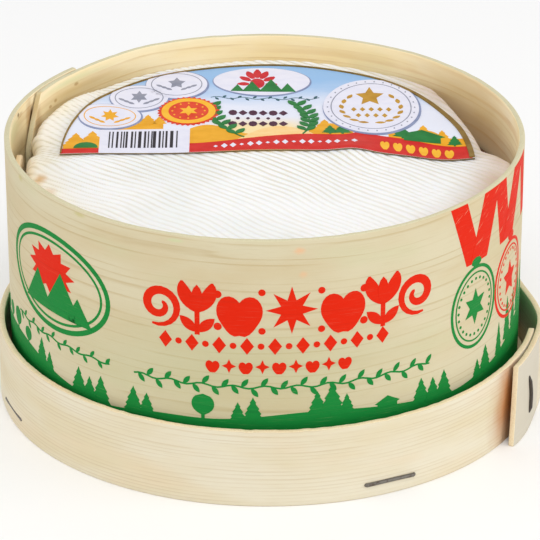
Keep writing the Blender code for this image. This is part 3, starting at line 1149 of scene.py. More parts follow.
@dataclass
class BoxWall:
    """The box: one strip of spruce, printed in red and green, that laps over itself."""

    radius: float = 58.0 * MM
    taper: float = 0.5 * MM
    wall: float = 1.3 * MM
    seam: float = 156.7
    lap: float = 17.0
    corner_cut: float = 7.9
    lap_inward: float = 1.35 * MM
    clearance: float = 0.3 * MM
    columns: int = 372
    rows: int = 26
    floor: float = field(init=False)
    rim: float = field(init=False)

    def __post_init__(self) -> None:
        """Reads the wall's foot and rim from the CAD part."""
        low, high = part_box("box_band")
        self.floor, self.rim = low.z, high.z

    def outer_radius(self, height: float) -> float:
        """The outer radius of a single layer at a height."""
        rise = (height - self.floor) / (self.rim - self.floor)
        return self.radius - self.taper * (1 - rise)

    def middle_radius(self, turn: float, height: float) -> float:
        """The middle of the strip.

        Args:
            turn: degrees clockwise of the inner end.
            height: height over the table.

        Returns:
            The radius in metres.
        """
        lap_outward = self.wall + self.clearance - self.lap_inward
        inward = self.lap_inward * (1 - ease(turn, self.lap, self.lap + 24))
        end = 360 - self.corner_cut
        outward = lap_outward * ease(turn, end - 20, end - 2)
        return self.outer_radius(height) - self.wall / 2 - inward + outward

    def inner_radius(self, azimuth: float, height: float) -> float:
        """The wall's inner face, which is the inner layer's where two lie over each other."""
        turn = (self.seam + self.corner_cut - azimuth) % 360 - self.corner_cut
        return self.middle_radius(turn, height) - self.wall / 2

    def inside(self, azimuth: float, height: float, reach: float = 12.6) -> float:
        """The largest radius that stays inside the wall within reach degrees to both sides."""
        return min(self.inner_radius(azimuth + side, height) for side in (-reach, 0.0, reach))

    def arc(self, azimuth: float) -> float:
        """The distance along the wall from the middle of the front, in metres."""
        return math.radians(azimuth + 90) * self.radius

    def unevenness(self, turn: float, height: float) -> float:
        """How far the wood bulges."""
        return 0.07 * MM * ripple(turn / 23, height / MM / 40)

    def place(self, u: float, v: float) -> tuple[Vector, Point]:
        """The point and UV of the strip's middle surface.

        Args:
            u: share of the way along the strip.
            v: share of the way up.

        Returns:
            The point and its UV, in metres.
        """
        height = self.floor + v * (self.rim - self.floor)
        start = -self.corner_cut * min((1 - v) * 5, 1.0)
        turn = start + u * (360 + self.lap - start)
        worn = 0.16 * MM * v**12 * (0.5 + 0.5 * ripple(turn / 3.1, 5.0) + 0.5 * ripple(turn / 11, 9.0))
        radius = self.middle_radius(turn, height) + self.unevenness(turn, height)
        azimuth = self.seam - turn
        return on_plan(radius, azimuth, height - max(worn, 0.0)), (self.arc(azimuth), height)

    def on_face(self, along: float, up: float, lift: float) -> Vector:
        """The point over the outer face for a flat print.

        Args:
            along: millimetres to the right of the middle of the front.
            up: height in millimetres.
            lift: millimetres over the wood.

        Returns:
            The point in metres.
        """
        azimuth = math.degrees(along * MM / self.radius) - 90
        turn = self.seam - azimuth
        height = up * MM
        radius = self.middle_radius(turn, height) + self.unevenness(turn, height)
        return on_plan(radius + self.wall / 2 + lift * MM, azimuth, height)

    @staticmethod
    def wood() -> dict[str, object]:
        """The look of the outer face, which the print shares, painted darker than the same wood inside:
        painted shade.

        Returns:
            The finish's settings by name.
        """
        return {
            "pale": srgb(208, 198, 167),
            "warm": srgb(202, 186, 149),
            "fibre": srgb(190, 174, 136),
            "cast": srgb(200, 196, 158),
            "pitch": 2.8,
            "line_share": 0.7,
        }

    @staticmethod
    def inner_stains_and_shade() -> tuple[StainOrShade, ...]:
        """The marks on the inner face: painted shade along the seam, a knot, spots, greenish patches, and
        broad painted shade low on the wall.

        Returns:
            The stains and painted shade, from the lowest to the topmost.
        """
        brown, green = srgb(168, 120, 64), srgb(206, 214, 166)
        return (
            # Painted shade along the seam: a brown band on both sides of it and a dark spot at its foot.
            StainOrShade((-111.0, 56.0), (3.0, 9.0), brown, 0.65, 0.95),
            StainOrShade((-112.4, 56.0), (1.3, 4.2), srgb(92, 56, 26), 0.85),
            StainOrShade((252.0, 55.5), (3.6, 6.5), brown, 0.5, 0.95),
            StainOrShade((-103.6, 60.6), (0.9, 0.75), srgb(86, 52, 30), 0.9),
            StainOrShade((-105.0, 60.0), (2.6, 0.8), brown, 0.4),
            StainOrShade((234.6, 59.0), (1.1, 0.6), brown, 0.7),
            StainOrShade((243.0, 57.6), (0.9, 0.6), brown, 0.7),
            StainOrShade((245.4, 56.9), (1.0, 0.6), brown, 0.6),
            StainOrShade((236.0, 60.4), (18.0, 1.6), green, 0.5, 0.95),
            StainOrShade((-98.0, 58.5), (9.0, 3.6), green, 0.5),
            # Painted shade: broad darker, browner patches low on the right, the back left and the left of the
            # inner wall.
            StainOrShade((122.0, 50.0), (32.0, 10.0), srgb(186, 142, 84), 0.55, 0.95),
            StainOrShade((124.0, 57.0), (30.0, 12.0), srgb(208, 178, 122), 0.6, 0.95),
            StainOrShade((231.0, 57.0), (28.0, 4.4), srgb(186, 160, 104), 0.6, 0.95),
            StainOrShade((-100.0, 53.0), (20.0, 11.0), srgb(182, 154, 96), 0.62, 0.95),
        )

    @staticmethod
    def outer_stains_and_shade() -> tuple[StainOrShade, ...]:
        """The marks on the outer face: small orange and olive stains under the rim, and broad painted shade
        over the lower middle of the front.

        Returns:
            The stains and painted shade, from the lowest to the topmost.
        """
        orange, olive = srgb(232, 172, 126), srgb(188, 178, 112)
        return (
            StainOrShade((7.4, 59.4), (1.9, 1.2), orange, 0.6, 0.95),
            StainOrShade((8.2, 53.8), (1.4, 1.2), orange, 0.4, 0.95),
            StainOrShade((-43.6, 60.9), (2.6, 0.8), olive, 0.6, 0.9),
            StainOrShade((-67.6, 60.8), (1.8, 1.1), olive, 0.6, 0.9),
            StainOrShade((-19.3, 60.6), (2.6, 0.6), srgb(196, 204, 156), 0.6),
            # Painted shade: a broad darker, greener patch over the lower middle of the front.
            StainOrShade((-8.0, 30.0), (62.0, 18.0), srgb(180, 178, 134), 0.5, 0.95),
        )

    def build(self) -> None:
        """Builds the wall."""
        # The inner face is the same wood as the outer one, painted much paler: painted light, with the outer
        # face as its shaded copy.
        inside = SpruceFace(
            name="box_inside",
            pale=srgb(252, 240, 208),
            warm=srgb(247, 226, 176),
            line=srgb(212, 172, 112),
            fibre=srgb(234, 208, 154),
            cast=srgb(232, 216, 164),
            pitch=3.0,
            line_width=0.35,
            line_share=0.6,
            stains_and_shade=self.inner_stains_and_shade(),
        )
        # Painted shade: darkens the cut face of the strip's inner end at the seam.
        seam_end_shade = StainOrShade((-50.6, 20.6), (3.6, 3.6), srgb(206, 178, 124), 0.8, 0.8)
        edge = SawnWood(
            "box_edge", srgb(214, 207, 174), srgb(186, 172, 130), (3.0, 3.0, 3.0), 0.35, (seam_end_shade,)
        )
        stains_and_shade = self.outer_stains_and_shade()
        outside = SpruceFace(name="box_outside", line=srgb(176, 152, 104), stains_and_shade=stains_and_shade, **self.wood())
        bm = make_strip(self.columns, self.rows, self.place)
        materials = [inside.material(), edge.material(), outside.material()]
        wall = make_piece("box_wall", bm, Slot.SPRUCE_BAND, materials, ("box_band",))
        give_thickness(wall, self.wall, 0.32 * MM)


@dataclass
class BoxPrint:
    """The print on the box: a meadow all round, folk ornament, a badge and ribbons."""

    box: BoxWall
    seed: int = 7
    title_middle: Point = (5.8, 45.2)
    badge_middle: Point = (-54.0, 41.6)
    badge_size: Point = (18.6, 11.8)
    meadow_edge: float = 19.6
    meadow_foot: float = 9.0
    fir_sunk: float = 1.2
    plant_sunk: float = 0.8
    cut_pitch: float = 2.0
    red: FlatPrint = field(default_factory=FlatPrint)
    green: FlatPrint = field(default_factory=FlatPrint)

    def azimuth_to_along(self, azimuth: float) -> float:
        """Millimetres to the right of the middle of the front for an azimuth."""
        return self.box.arc(azimuth) / MM

    def draw_title(self) -> None:
        """Draws the large row: a star between hearts, tulips and scrolls."""
        x, y = self.title_middle
        self.red.blob((x, y + 0.3), (5.6, 5.6), star_edge(8, 0.55), points=16)
        for side in (-1, 1):
            self.red.blob((x + side * 11.2, y), (5.0, 5.4), heart_edge, points=32)
            draw_tulip(self.red, (x + side * 20.4, y - 6.2), 12.4)
            draw_scroll(self.red, (x + side * 29.0, y - 0.3), 4.9, -side, 2.0)
            for rise in (-3.8, 3.8):
                self.red.blob((x + side * 15.9, y + rise), (0.9, 0.9), points=12)
                self.red.blob((x + side * 6.4, y + rise * 1.2), (0.8, 0.8), points=12)

    def draw_rows(self) -> None:
        """Draws two red rows of lozenges and hearts and a green garland."""
        for number in range(17):
            x = 2.2 + (number - 8) * 3.0
            if number % 2:
                self.red.blob((x, 37.0), (0.75, 0.75), points=10)
            else:
                self.red.blob((x, 37.0), (1.5, 2.0), points=4)
        for number in range(9):
            x = 3.1 + (number - 4) * 3.6
            edge, points = (heart_edge, 20) if number % 2 == 0 else (star_edge(4, 0.55), 8)
            self.red.blob((x, 32.1), (1.55, 1.65), edge, points=points)
        self.draw_garland(-29.6, 38.6, 27.2, 1.0)

    def draw_garland(self, start: float, end: float, height: float, wave: float) -> None:
        """Draws a wavy stem with leaves to both sides.

        Args:
            start: its left end.
            end: its right end.
            height: its height on the wall.
            wave: how far it swings.
        """
        length = end - start

        def path(t: float) -> Point:
            """The point at a share of the stem."""
            return start + t * length, height + 0.35 * wave * math.sin(t * length * 0.9)

        self.green.stroke(path, lambda t: 0.4, 60)
        count = int(length / 2.1)
        for number in range(count):
            foot = path((number + 0.5) / count)
            side = 1 if number % 2 else -1
            draw_leaf(self.green, foot, side * 52, 2.5 * wave, level=1)

    def draw_badge(self) -> None:
        """Draws the badge at the left: a red sun over green peaks in a double ring."""
        x, y = self.badge_middle
        wide, high = self.badge_size
        self.green.ring((x, y), (wide, high), 1.2)
        self.green.ring((x, y), (wide - 2.2, high - 2.0), 0.6)
        self.red.blob((x - 0.6, y + 2.4), (8.8, 6.0), star_edge(12, 0.3), points=24)
        low = y - 7.6
        for side, height in ((-5.6, 8.6), (3.4, 10.4), (9.0, 6.2)):
            peak = (x + side, low + height)
            self.green.line((x + side, low), peak, lambda t, h=height: 1.35 * h * (1 - t), 5, 2)
        self.draw_garland(x - 17.0, x + 18.0, 27.4, 0.8)

    def draw_ribbons(self) -> None:
        """Draws the hanging ribbons with their rings at the right."""
        rim, low = 61.55, 46.3
        arms = (
            (-44.0, -38.4, 5.4),
            (-31.8, -36.6, 6.4),
            (-27.6, -24.6, 5.4),
            (-16.4, -23.0, 6.4),
            (-11.5, -8.6, 5.0),
        )
        for number, (top, bottom, width) in enumerate(arms):
            path = straight((self.azimuth_to_along(top), rim), (self.azimuth_to_along(bottom), low))
            self.red.stroke(path, lambda t, w=width: w, 6, number % 2, across=(1.0, 0.0))
        rings = ((self.green, -37.5, (8.4, 9.9), 6), (self.red, -20.6, (8.8, 9.4), 5))
        for sheet, azimuth, size, star in rings:
            x, y = self.azimuth_to_along(azimuth), 35.6
            sheet.ring((x, y), size, 0.75, level=1)
            sheet.ring((x, y), (size[0] - 1.5, size[1] - 1.6), 0.35, level=1)
            sheet.blob((x, y), (4.0, 4.3), star_edge(star, 0.5), points=2 * star, level=1)
            for number in range(24):
                angle = math.tau * number / 24
                dot = (x + 5.9 * math.cos(angle), y + 6.7 * math.sin(angle))
                sheet.blob(dot, (0.36, 0.36), points=8, level=1)
            sheet.blob((x, y + size[1] + 0.9), (1.8, 1.1), points=12, level=2)

    def meadow_height(self, along: float) -> float:
        """The meadow's upper edge at a place along the wall, in millimetres.

        Args:
            along: millimetres to the right of the middle of the front.

        Returns:
            The height in millimetres.
        """
        hills = 0.8 * math.sin(along / 15 + 0.8) + 0.5 * math.sin(along / 6.7)
        dips = sum(math.exp(-(((along - middle) / 10) ** 2)) for middle in (-36.0, 47.0))
        slope = 5.5 * ease(along, 58.0, 84.0) * (1 - ease(along, 96.0, 116.0))
        left = 1.6 * ease(-along, 46.0, 66.0)
        return self.meadow_edge + hills - 1.8 * dips + slope + left

    def draw_meadow(self) -> None:
        """Draws the meadow and what stands on it, all round the box."""
        start = self.azimuth_to_along(-238.0)
        end = self.azimuth_to_along(119.0)
        low = self.meadow_foot

        def along(t: float) -> float:
            """The place at a share of the meadow."""
            return start + t * (end - start)

        self.green.stroke(
            lambda t: (along(t), (self.meadow_height(along(t)) + low) / 2),
            lambda t: self.meadow_height(along(t)) - low,
            240,
        )
        for place, tall in ((64.5, 8.6), (69.5, 11.5), (74.0, 9.6), (78.5, 12.4), (83.0, 10.2)):
            root = (place, self.meadow_height(place) - self.fir_sunk)
            draw_plant(self.green, Plant.SLIM_FIR, root, tall)
        draw = random.Random(self.seed)
        place = start + 3
        while place < end - 3:
            if 61.0 < place < 88.0:
                place = 88.0
            pick = draw.random()
            foot = (place, self.meadow_height(place) - self.plant_sunk)
            if pick < 0.5:
                for offset in range(draw.randint(2, 3)):
                    spot = place + offset * 3.3
                    tall = draw.uniform(4.8, 7.8)
                    root = (spot, self.meadow_height(spot) - self.fir_sunk)
                    draw_plant(self.green, Plant.FIR, root, tall, 1 + offset % 2)
                place += 9.5
            elif pick < 0.72:
                draw_plant(self.green, Plant.ROUND_TREE, foot, draw.uniform(4.2, 7.0))
            elif pick < 0.84:
                draw_plant(self.green, Plant.CHALET, foot, draw.uniform(2.6, 3.4))
                place += 3
            else:
                draw_plant(self.green, Plant.BUSH, foot, draw.uniform(1.2, 2.0))
            place += draw.uniform(4.0, 9.0)

    def draw_back(self) -> None:
        """Draws a quieter row on the back: hearts, tulips and a garland."""
        centre = self.azimuth_to_along(68.0)
        for number in range(-4, 5):
            x = centre + number * 9.5
            if number % 2:
                draw_tulip(self.red, (x, 36.0), 11.0)
            else:
                self.red.blob((x, 42.0), (4.2, 4.6), heart_edge, points=28)
        self.draw_garland(centre - 42, centre + 42, 31.0, 1.1)
        self.draw_garland(centre - 42, centre + 42, 52.0, 1.1)

    def build(self) -> None:
        """Draws both inks and bends them on to the wall."""
        self.draw_title()
        self.draw_rows()
        self.draw_badge()
        self.draw_ribbons()
        self.draw_meadow()
        self.draw_back()
        inked = {**self.box.wood(), "roughness": 0.6, "specular": 0.1, "ink_gaps": 0.2}
        scuffed = {**inked, "scuffed_from": 36.0}
        red_ink = SpruceFace(name="red_on_spruce", line=srgb(180, 34, 6), ink=srgb(216, 34, 2), **scuffed)
        green_ink = SpruceFace(name="green_on_spruce", line=srgb(10, 90, 40), ink=srgb(20, 128, 54), **inked)
        prints = (("box_print_red", self.red, red_ink), ("box_print_green", self.green, green_ink))
        for name, sheet, ink in prints:
            bm = sheet.bend(self.box.on_face, (self.cut_pitch, 0.0))
            make_piece(name, bm, Slot.SPRUCE_BAND, [ink.material()])


@dataclass
class Lid:
    """The upturned lid: a band that laps over itself, its disc, and their staples."""

    wall: float = 1.4 * MM
    disc_radius: float = 59.3 * MM
    clearance: float = 0.3 * MM
    shift: float = 0.6 * MM
    seam: float = -9.8
    lap_top: float = 18.8
    lap_bottom: float = 21.8
    lean: float = 0.9 * MM
    lean_azimuth: float = 25.0
    standoff_top: float = 0.5 * MM
    standoff_bottom: float = 1.4 * MM
    columns: int = 380
    rows: int = 12
    wire: float = 0.45 * MM
    crown: float = 11.8 * MM
    leg: float = 4.6 * MM
    bow: float = 0.12 * MM
    wire_steps: int = 9
    staple_height: float = 3.2 * MM
    staple_azimuths: tuple[float, ...] = (-64.1, -159.6, 131.0, 34.0)
    staple_depths: tuple[float, ...] = (-0.2 * MM, 0.2 * MM, 0.0, 0.0)
    lap_staple_azimuth: float = -22.5
    lap_staple_ends: Point = (4.2 * MM, 12.6 * MM)
    rim: float = field(init=False)

    def __post_init__(self) -> None:
        """Reads the lid's height from the CAD part."""
        self.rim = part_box("lid_band")[1].z

    def middle_radius(self, turn: float, v: float) -> float:
        """The middle of the band.

        Args:
            turn: degrees clockwise of the inner end.
            v: share of the height.

        Returns:
            The radius in metres.
        """
        over = (self.wall + self.clearance) * ease(turn, 338, 357)
        lean = self.lean * v * around(self.seam - turn, self.lean_azimuth, 20) * ease(turn, 200, 300)
        standoff = self.standoff_bottom + v * (self.standoff_top - self.standoff_bottom)
        flap = standoff * ease(turn, 364, 381)
        base = self.disc_radius + self.clearance + self.wall / 2
        return base + over - lean * (1 - ease(turn, 345, 360)) + flap

    def place(self, u: float, v: float) -> tuple[Vector, Point]:
        """The point and UV of the band's middle surface.

        Args:
            u: share of the way along the band.
            v: share of the way up.

        Returns:
            The point and its UV, in metres.
        """
        turn = u * (360 + self.lap_bottom + v * (self.lap_top - self.lap_bottom))
        radius = self.middle_radius(turn, v) + 0.06 * MM * ripple(turn / 17, v * 0.4, 3.0)
        worn = 0.15 * MM * v**6 * max(0.3 + ripple(turn / 4.3, 2.0) + ripple(turn / 1.7, 7.0), 0.0)
        azimuth = self.seam - turn
        height = v * self.rim
        along = math.radians(azimuth + 90) * self.disc_radius
        return on_plan(radius, azimuth, height - worn, self.shift), (along, height)

    def surface_radius(self, turn: float, v: float) -> float:
        """The radius of the band's outer face."""
        return self.middle_radius(turn, v) + self.wall / 2

    def build_band(self) -> None:
        """Builds the band."""
        face = SpruceFace(
            name="lid_spruce",
            pale=srgb(223, 215, 193),
            warm=srgb(216, 203, 170),
            line=srgb(190, 166, 130),
            fibre=srgb(206, 190, 156),
            cast=srgb(222, 203, 172),
            pitch=0.95,
            line_width=0.4,
            line_share=0.5,
            stains_and_shade=(
                # Painted shadow: warm brown on the band beside the flap, which stands off from it.
                StainOrShade((63.5, 9.0), (10.0, 18.0), srgb(176, 100, 22), 0.9, 0.95),
                StainOrShade((-303.5, 9.0), (12.5, 40.0), srgb(200, 193, 177), 0.85, 0.3),
            ),
        )
        edge = SawnWood("lid_edge", srgb(240, 224, 190), srgb(214, 178, 126), (2.5, 2.5, 2.5), 0.4)
        bm = make_strip(self.columns, self.rows, self.place)
        materials = [face.material(), edge.material()]
        band = make_piece("lid_wall", bm, Slot.SPRUCE_BAND, materials, ("lid_band",))
        give_thickness(band, self.wall, 0.25 * MM)

    def staple_path(self, azimuth: float, depth: float) -> list[Vector]:
        """The axis of a staple's wire: a leg, a round bend, the bowed crown and back.

        Args:
            azimuth: where its middle is.
            depth: how far its crown is sunk in the band's face.

        Returns:
            The points on the axis, in metres.
        """
        turn = (self.seam - azimuth) % 360
        radius = self.surface_radius(turn, self.staple_height / self.rim) - depth
        half = math.degrees(self.crown / 2 / radius)
        bend = 0.055 * half
        corner = [(self.leg, half, 0.0), (0.5 * MM, half, 0.0), (self.bow, half - 0.3 * bend, 0.0)]
        crown = []
        for step in range(self.wire_steps):
            share = step / (self.wire_steps - 1)
            bow = self.bow * math.sin(math.pi * share)
            crown.append((bow, (2 * share - 1) * (half - bend), bow))
        places = [(deep, -side, rise) for deep, side, rise in corner] + crown + corner[::-1]
        return [
            on_plan(radius - deep, azimuth + side, self.staple_height + rise, self.shift)
            for deep, side, rise in places
        ]

    def build_staples(self) -> None:
        """Builds the staples that hold the band to its disc, half sunk in the wood."""
        steel = StapleSteel().material()
        for number, (azimuth, depth) in enumerate(zip(self.staple_azimuths, self.staple_depths), start=1):
            bm = bent_wire(self.staple_path(azimuth, depth), self.wire)
            make_piece(f"staple_wire_{number}", bm, Slot.STAPLE_STEEL, [steel], (f"lid_staple_{number}",))

    def build_lap_staple(self) -> None:
        """Builds the upright staple that closes the overlap."""
        steel = StapleSteel("lap_staple_wire", srgb(84, 78, 72), srgb(46, 36, 28), 0.5).material()
        low, high = self.lap_staple_ends
        azimuth = self.lap_staple_azimuth
        turn = 360 + (self.seam - azimuth) % 360
        inner = self.middle_radius(turn - 360, 0.5)
        path = [on_plan(inner, azimuth, low, self.shift)]
        for step in range(self.wire_steps):
            share = step / (self.wire_steps - 1)
            height = low + share * (high - low)
            radius = self.surface_radius(turn, height / self.rim) + 0.3 * MM
            ends = 0.35 * MM if step in (0, self.wire_steps - 1) else 0.0
            kink = 0.5 * math.sin(math.pi * share) ** 2
            path.append(on_plan(radius - ends, azimuth + kink, height, self.shift))
        path.append(on_plan(inner, azimuth, high, self.shift))
        bm = bent_wire(path, self.wire)
        make_piece("lap_staple_wire", bm, Slot.STAPLE_STEEL, [steel], ("lap_staple",))

    def build(self) -> None:
        """Builds the lid."""
        self.build_band()
        self.build_staples()
        self.build_lap_staple()


@dataclass
class Cheese:
    """The cheese: a low dome under a white rind with the marks of its cloth."""

    box: BoxWall
    centre_height: float = 56.2 * MM
    flat_behind: Point = (20.0 * MM, 44.0 * MM)
    dome: float = 1.3 * MM
    dome_radius: float = 50.0 * MM
    to_wall: float = 0.5 * MM
    slack: float = 0.3 * MM
    shoulder: float = 1.6 * MM
    shoulder_height: float = 3.6 * MM
    left_roll: float = 1.0 * MM
    front_roll: float = 2.8 * MM
    undercut: float = 2.2 * MM
    inside_strap: float = 0.6 * MM
    beside_seam: float = 2.0
    right_gap: float = 6.0 * MM
    right_gap_azimuth: float = 9.0
    right_gap_spread: Point = (12.0, 36.0)
    swells: tuple[tuple[float, ...], ...] = (
        (-50.0, 30.0, 3.3, 12.0),
        (-53.0, 17.0, 1.2, 7.0),
        (20.0, 2.0, 1.0, 5.0),
        (41.0, 4.0, -1.5, 8.5),
    )
    foot_round: float = 1.5 * MM
    strap: float = 1.5 * MM
    strap_top: float = 46.8 * MM
    ridge_pitch: float = 1.75
    ridge_depth: float = 0.28 * MM
    around_segments: int = 520
    rings: int = 165
    foot: float = field(init=False)

    def __post_init__(self) -> None:
        """Reads the cheese's foot from the CAD part."""
        self.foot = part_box("cheese")[0].z

    def side_radius(self, azimuth: float) -> float:
        """The radius of the cheese inside its strap."""
        clear = self.box.clearance
        return self.box.inside(azimuth, self.box.floor) - clear - self.strap - clear

    def right_gap_share(self, azimuth: float) -> float:
        """The gap at the right closes quickly towards the front and slowly towards the back.

        Args:
            azimuth: degrees counterclockwise from +X.

        Returns:
            The gap's width, as a share of its widest place.
        """
        before, behind = self.right_gap_spread
        away = (azimuth - self.right_gap_azimuth + 180) % 360 - 180
        if away < 0:
            return ease(away, -before, 0)
        return math.cos(min(away / behind, 1.0) * math.pi / 2)

    def edge_radius(self, azimuth: float) -> float:
        """The shoulder's widest radius: over the strap to the wall, but inside it at the left.

        Args:
            azimuth: degrees counterclockwise from +X.

        Returns:
            The radius in metres.
        """
        right = self.right_gap * self.right_gap_share(azimuth)
        slack = self.slack * (1 - math.cos(math.radians(azimuth * 4)))
        over = self.box.inside(azimuth, self.strap_top, self.beside_seam) - self.to_wall - slack - right
        inside = self.inside_strap * ease(azimuth % 360, 165, 182)
        within = min(over, self.side_radius(azimuth) - inside)
        left = ease(azimuth % 360, 160, 173) * (1 - ease(azimuth % 360, 204, 214))
        return over + (within - over) * left

    def shoulder_width(self, azimuth: float) -> float:
        """The width of the rounded shoulder, tight at the back and wider at the left and front.

        Args:
            azimuth: degrees counterclockwise from +X.

        Returns:
            The width in metres.
        """
        left = self.left_roll * around(azimuth, 183, 30)
        front = self.front_roll * around(azimuth, -90, 60)
        return self.shoulder + left + front

    def top_height(self, x: float, y: float) -> float:
        """The height of the top without the cloth's marks.

        Args:
            x: metres along +X.
            y: metres along +Y.

        Returns:
            The height in metres.
        """
        falls = 1 - ease(y, *self.flat_behind)
        falloff = self.dome * falls * (x * x + y * y) / self.dome_radius**2
        wave = 0.3 * MM * math.sin(x / (8 * MM) + 1.0) * math.cos(y / (10 * MM))
        swell = sum(
            rise * MM * math.exp(-((x / MM - middle_x) ** 2 + (y / MM - middle_y) ** 2) / reach**2)
            for middle_x, middle_y, rise, reach in self.swells
        )
        azimuth = math.degrees(math.atan2(y, x))
        edge, width = self.edge_radius(azimuth), self.shoulder_width(azimuth)
        roll = min(max((math.hypot(x, y) - edge + width) / width, 0.0), 1.0)
        drop = self.shoulder_height * (1 - math.sqrt(1 - roll * roll))
        return self.centre_height - falloff + wave + swell - drop

    def ridge(self, x: float, y: float) -> float:
        """The marks of the cloth: short slanting ridges, from 0 in a valley to 1.

        Args:
            x: millimetres along +X.
            y: millimetres along +Y.

        Returns:
            The ridge's height as a share.
        """
        turned = 11 * (1 - ease(x, -40.0, -22.0)) * ease(y, -4.0, 8.0)
        angle = math.radians(-43 + turned + 8 * ripple(x / 50, y / 50, 1.0))
        along = x * math.cos(angle) + y * math.sin(angle)
        across = -x * math.sin(angle) + y * math.cos(angle)
        across += 1.6 * ripple(x / 16, y / 16, 4.0)
        count = across / self.ridge_pitch
        number = math.floor(count)
        wave = 0.5 - 0.5 * math.cos(math.tau * count)
        dash = 0.5 + 0.5 * math.sin(along / 1.9 + 2.4 * number + 2.2 * ripple(along / 9, number * 0.7))
        strength = 0.62 + 0.38 * dash**0.7
        patch = 0.85 + 0.3 * ripple(x / 11, y / 11, 8.0)
        return wave**0.65 * strength * min(max(patch, 0.6), 1.0)

    def profile(self, azimuth: float, t: float) -> tuple[float, float]:
        """The skin's radius and height.

        Args:
            azimuth: degrees counterclockwise from +X.
            t: 0 at the middle of the top and 1 under it.

        Returns:
            The radius and height in metres.
        """
        edge, width = self.edge_radius(azimuth), self.shoulder_width(azimuth)
        side = self.side_radius(azimuth)
        angle = math.radians(azimuth)

        def on_top(radius: float) -> tuple[float, float]:
            """The radius with its height on the top."""
            return radius, self.top_height(radius * math.cos(angle), radius * math.sin(angle))

        top_share, shoulder_share, under_share, side_share = 0.78, 0.9, 0.93, 0.975
        if t <= top_share:
            return on_top((edge - width) * t / top_share)
        if t <= shoulder_share:
            roll = (t - top_share) / (shoulder_share - top_share)
            return on_top(edge - width + width * math.sin(roll * math.pi / 2))
        lip = on_top(edge)[1]
        undercut = lip - self.undercut - max(0.0, side - edge)
        foot = self.foot + self.foot_round
        if t <= under_share:
            part = (t - shoulder_share) / (under_share - shoulder_share)
            return edge + (side - edge) * part, lip + (undercut - lip) * part
        if t <= side_share:
            part = (t - under_share) / (side_share - under_share)
            return side, undercut + (foot - undercut) * part
        part = (t - side_share) / (1 - side_share)
        return (side - self.foot_round) * (1 - part), self.foot

    def build(self) -> None:
        """Builds the cheese with its ridges and the attribute that its rind reads."""
        bm = bmesh.new()
        bmesh.ops.create_uvsphere(bm, u_segments=self.around_segments, v_segments=self.rings, radius=1.0)
        relief = bm.verts.layers.float.new(RELIEF)
        fade_from, fade_to = 50.5 * MM, 46.0 * MM
        for vertex in bm.verts:
            azimuth = math.degrees(math.atan2(vertex.co.y, vertex.co.x))
            t = math.acos(min(max(vertex.co.z, -1.0), 1.0)) / math.pi
            radius, height = self.profile(azimuth, t)
            point = on_plan(radius, azimuth, height)
            ridge = self.ridge(point.x / MM, point.y / MM)
            vertex[relief] = ridge
            share = ease(height, fade_to, fade_from)
            point.z += self.ridge_depth * (ridge - 0.6) * share
            vertex.co = point
        make_piece("cheese_rind", bm, Slot.RIND, [Rind().material()], ("cheese",))


@dataclass
class BarkStrap:
    """The strap of bark round the cheese, which shows in the gap at the left."""

    cheese: Cheese
    top_left: float = 54.8 * MM
    joint: float = -60.0
    joint_gap: float = 0.9
    columns: int = 240
    rows: int = 14

    def top(self, azimuth: float) -> float:
        """The height of the strap's upper edge.

        Args:
            azimuth: degrees counterclockwise from +X.

        Returns:
            The height in metres.
        """
        low = self.cheese.strap_top
        shows = ease(azimuth % 360, 172, 176) * (1 - ease(azimuth % 360, 196, 206))
        return low + (self.top_left - low) * shows

    def place(self, u: float, v: float) -> tuple[Vector, Point]:
        """The point and UV of the strap's middle surface.

        Args:
            u: share of the way along the strap.
            v: share of the way up.

        Returns:
            The point and its UV, in metres.
        """
        cheese = self.cheese
        box = cheese.box
        azimuth = self.joint - self.joint_gap / 2 - u * (360 - self.joint_gap)
        ragged = 0.5 * MM * ripple(azimuth / 2.3, 1.0) * v**4
        height = cheese.foot + v * (self.top(azimuth) - cheese.foot) + min(ragged, 0.0)
        radius = box.inside(azimuth, box.floor, 6.3) - box.clearance - cheese.strap / 2
        point = on_plan(radius + 0.1 * MM * ripple(azimuth / 5, v * 6), azimuth, height)
        return point, (math.radians(azimuth) * box.radius, height)

    def build(self) -> None:
        """Builds the strap."""
        bm = make_strip(self.columns, self.rows, self.place)
        bark = Bark().material()
        strap = make_piece("bark_band", bm, Slot.BARK, [bark, bark], ("bark_strap",))
        give_thickness(strap, self.cheese.strap - 0.2 * MM, 0.3 * MM)


LABEL_INKS = {
    "red": ((212, 26, 12), (200, 20, 8)),
    "crimson": ((206, 32, 46), (194, 26, 40)),
    "gold": ((238, 172, 24), (226, 158, 18)),
    "peach": ((250, 214, 150), (248, 202, 128)),
    "yellow": ((248, 190, 44), (244, 178, 30)),
    "bronze": ((196, 148, 44), (178, 130, 36)),
    "leaf": ((26, 124, 54), (20, 110, 46)),
    "teal": ((44, 92, 104), (34, 80, 92)),
    "orange": ((226, 66, 24), (214, 54, 20)),
    "white": ((232, 231, 244), (224, 224, 240)),
    "shade": ((140, 150, 184), (122, 134, 170)),
    "silver": ((150, 152, 168), (132, 136, 154)),
    "dark": ((30, 24, 32), (42, 34, 44)),
    "violet": ((76, 22, 58), (64, 16, 48)),
    "olive": ((140, 112, 48), (120, 92, 38)),
}


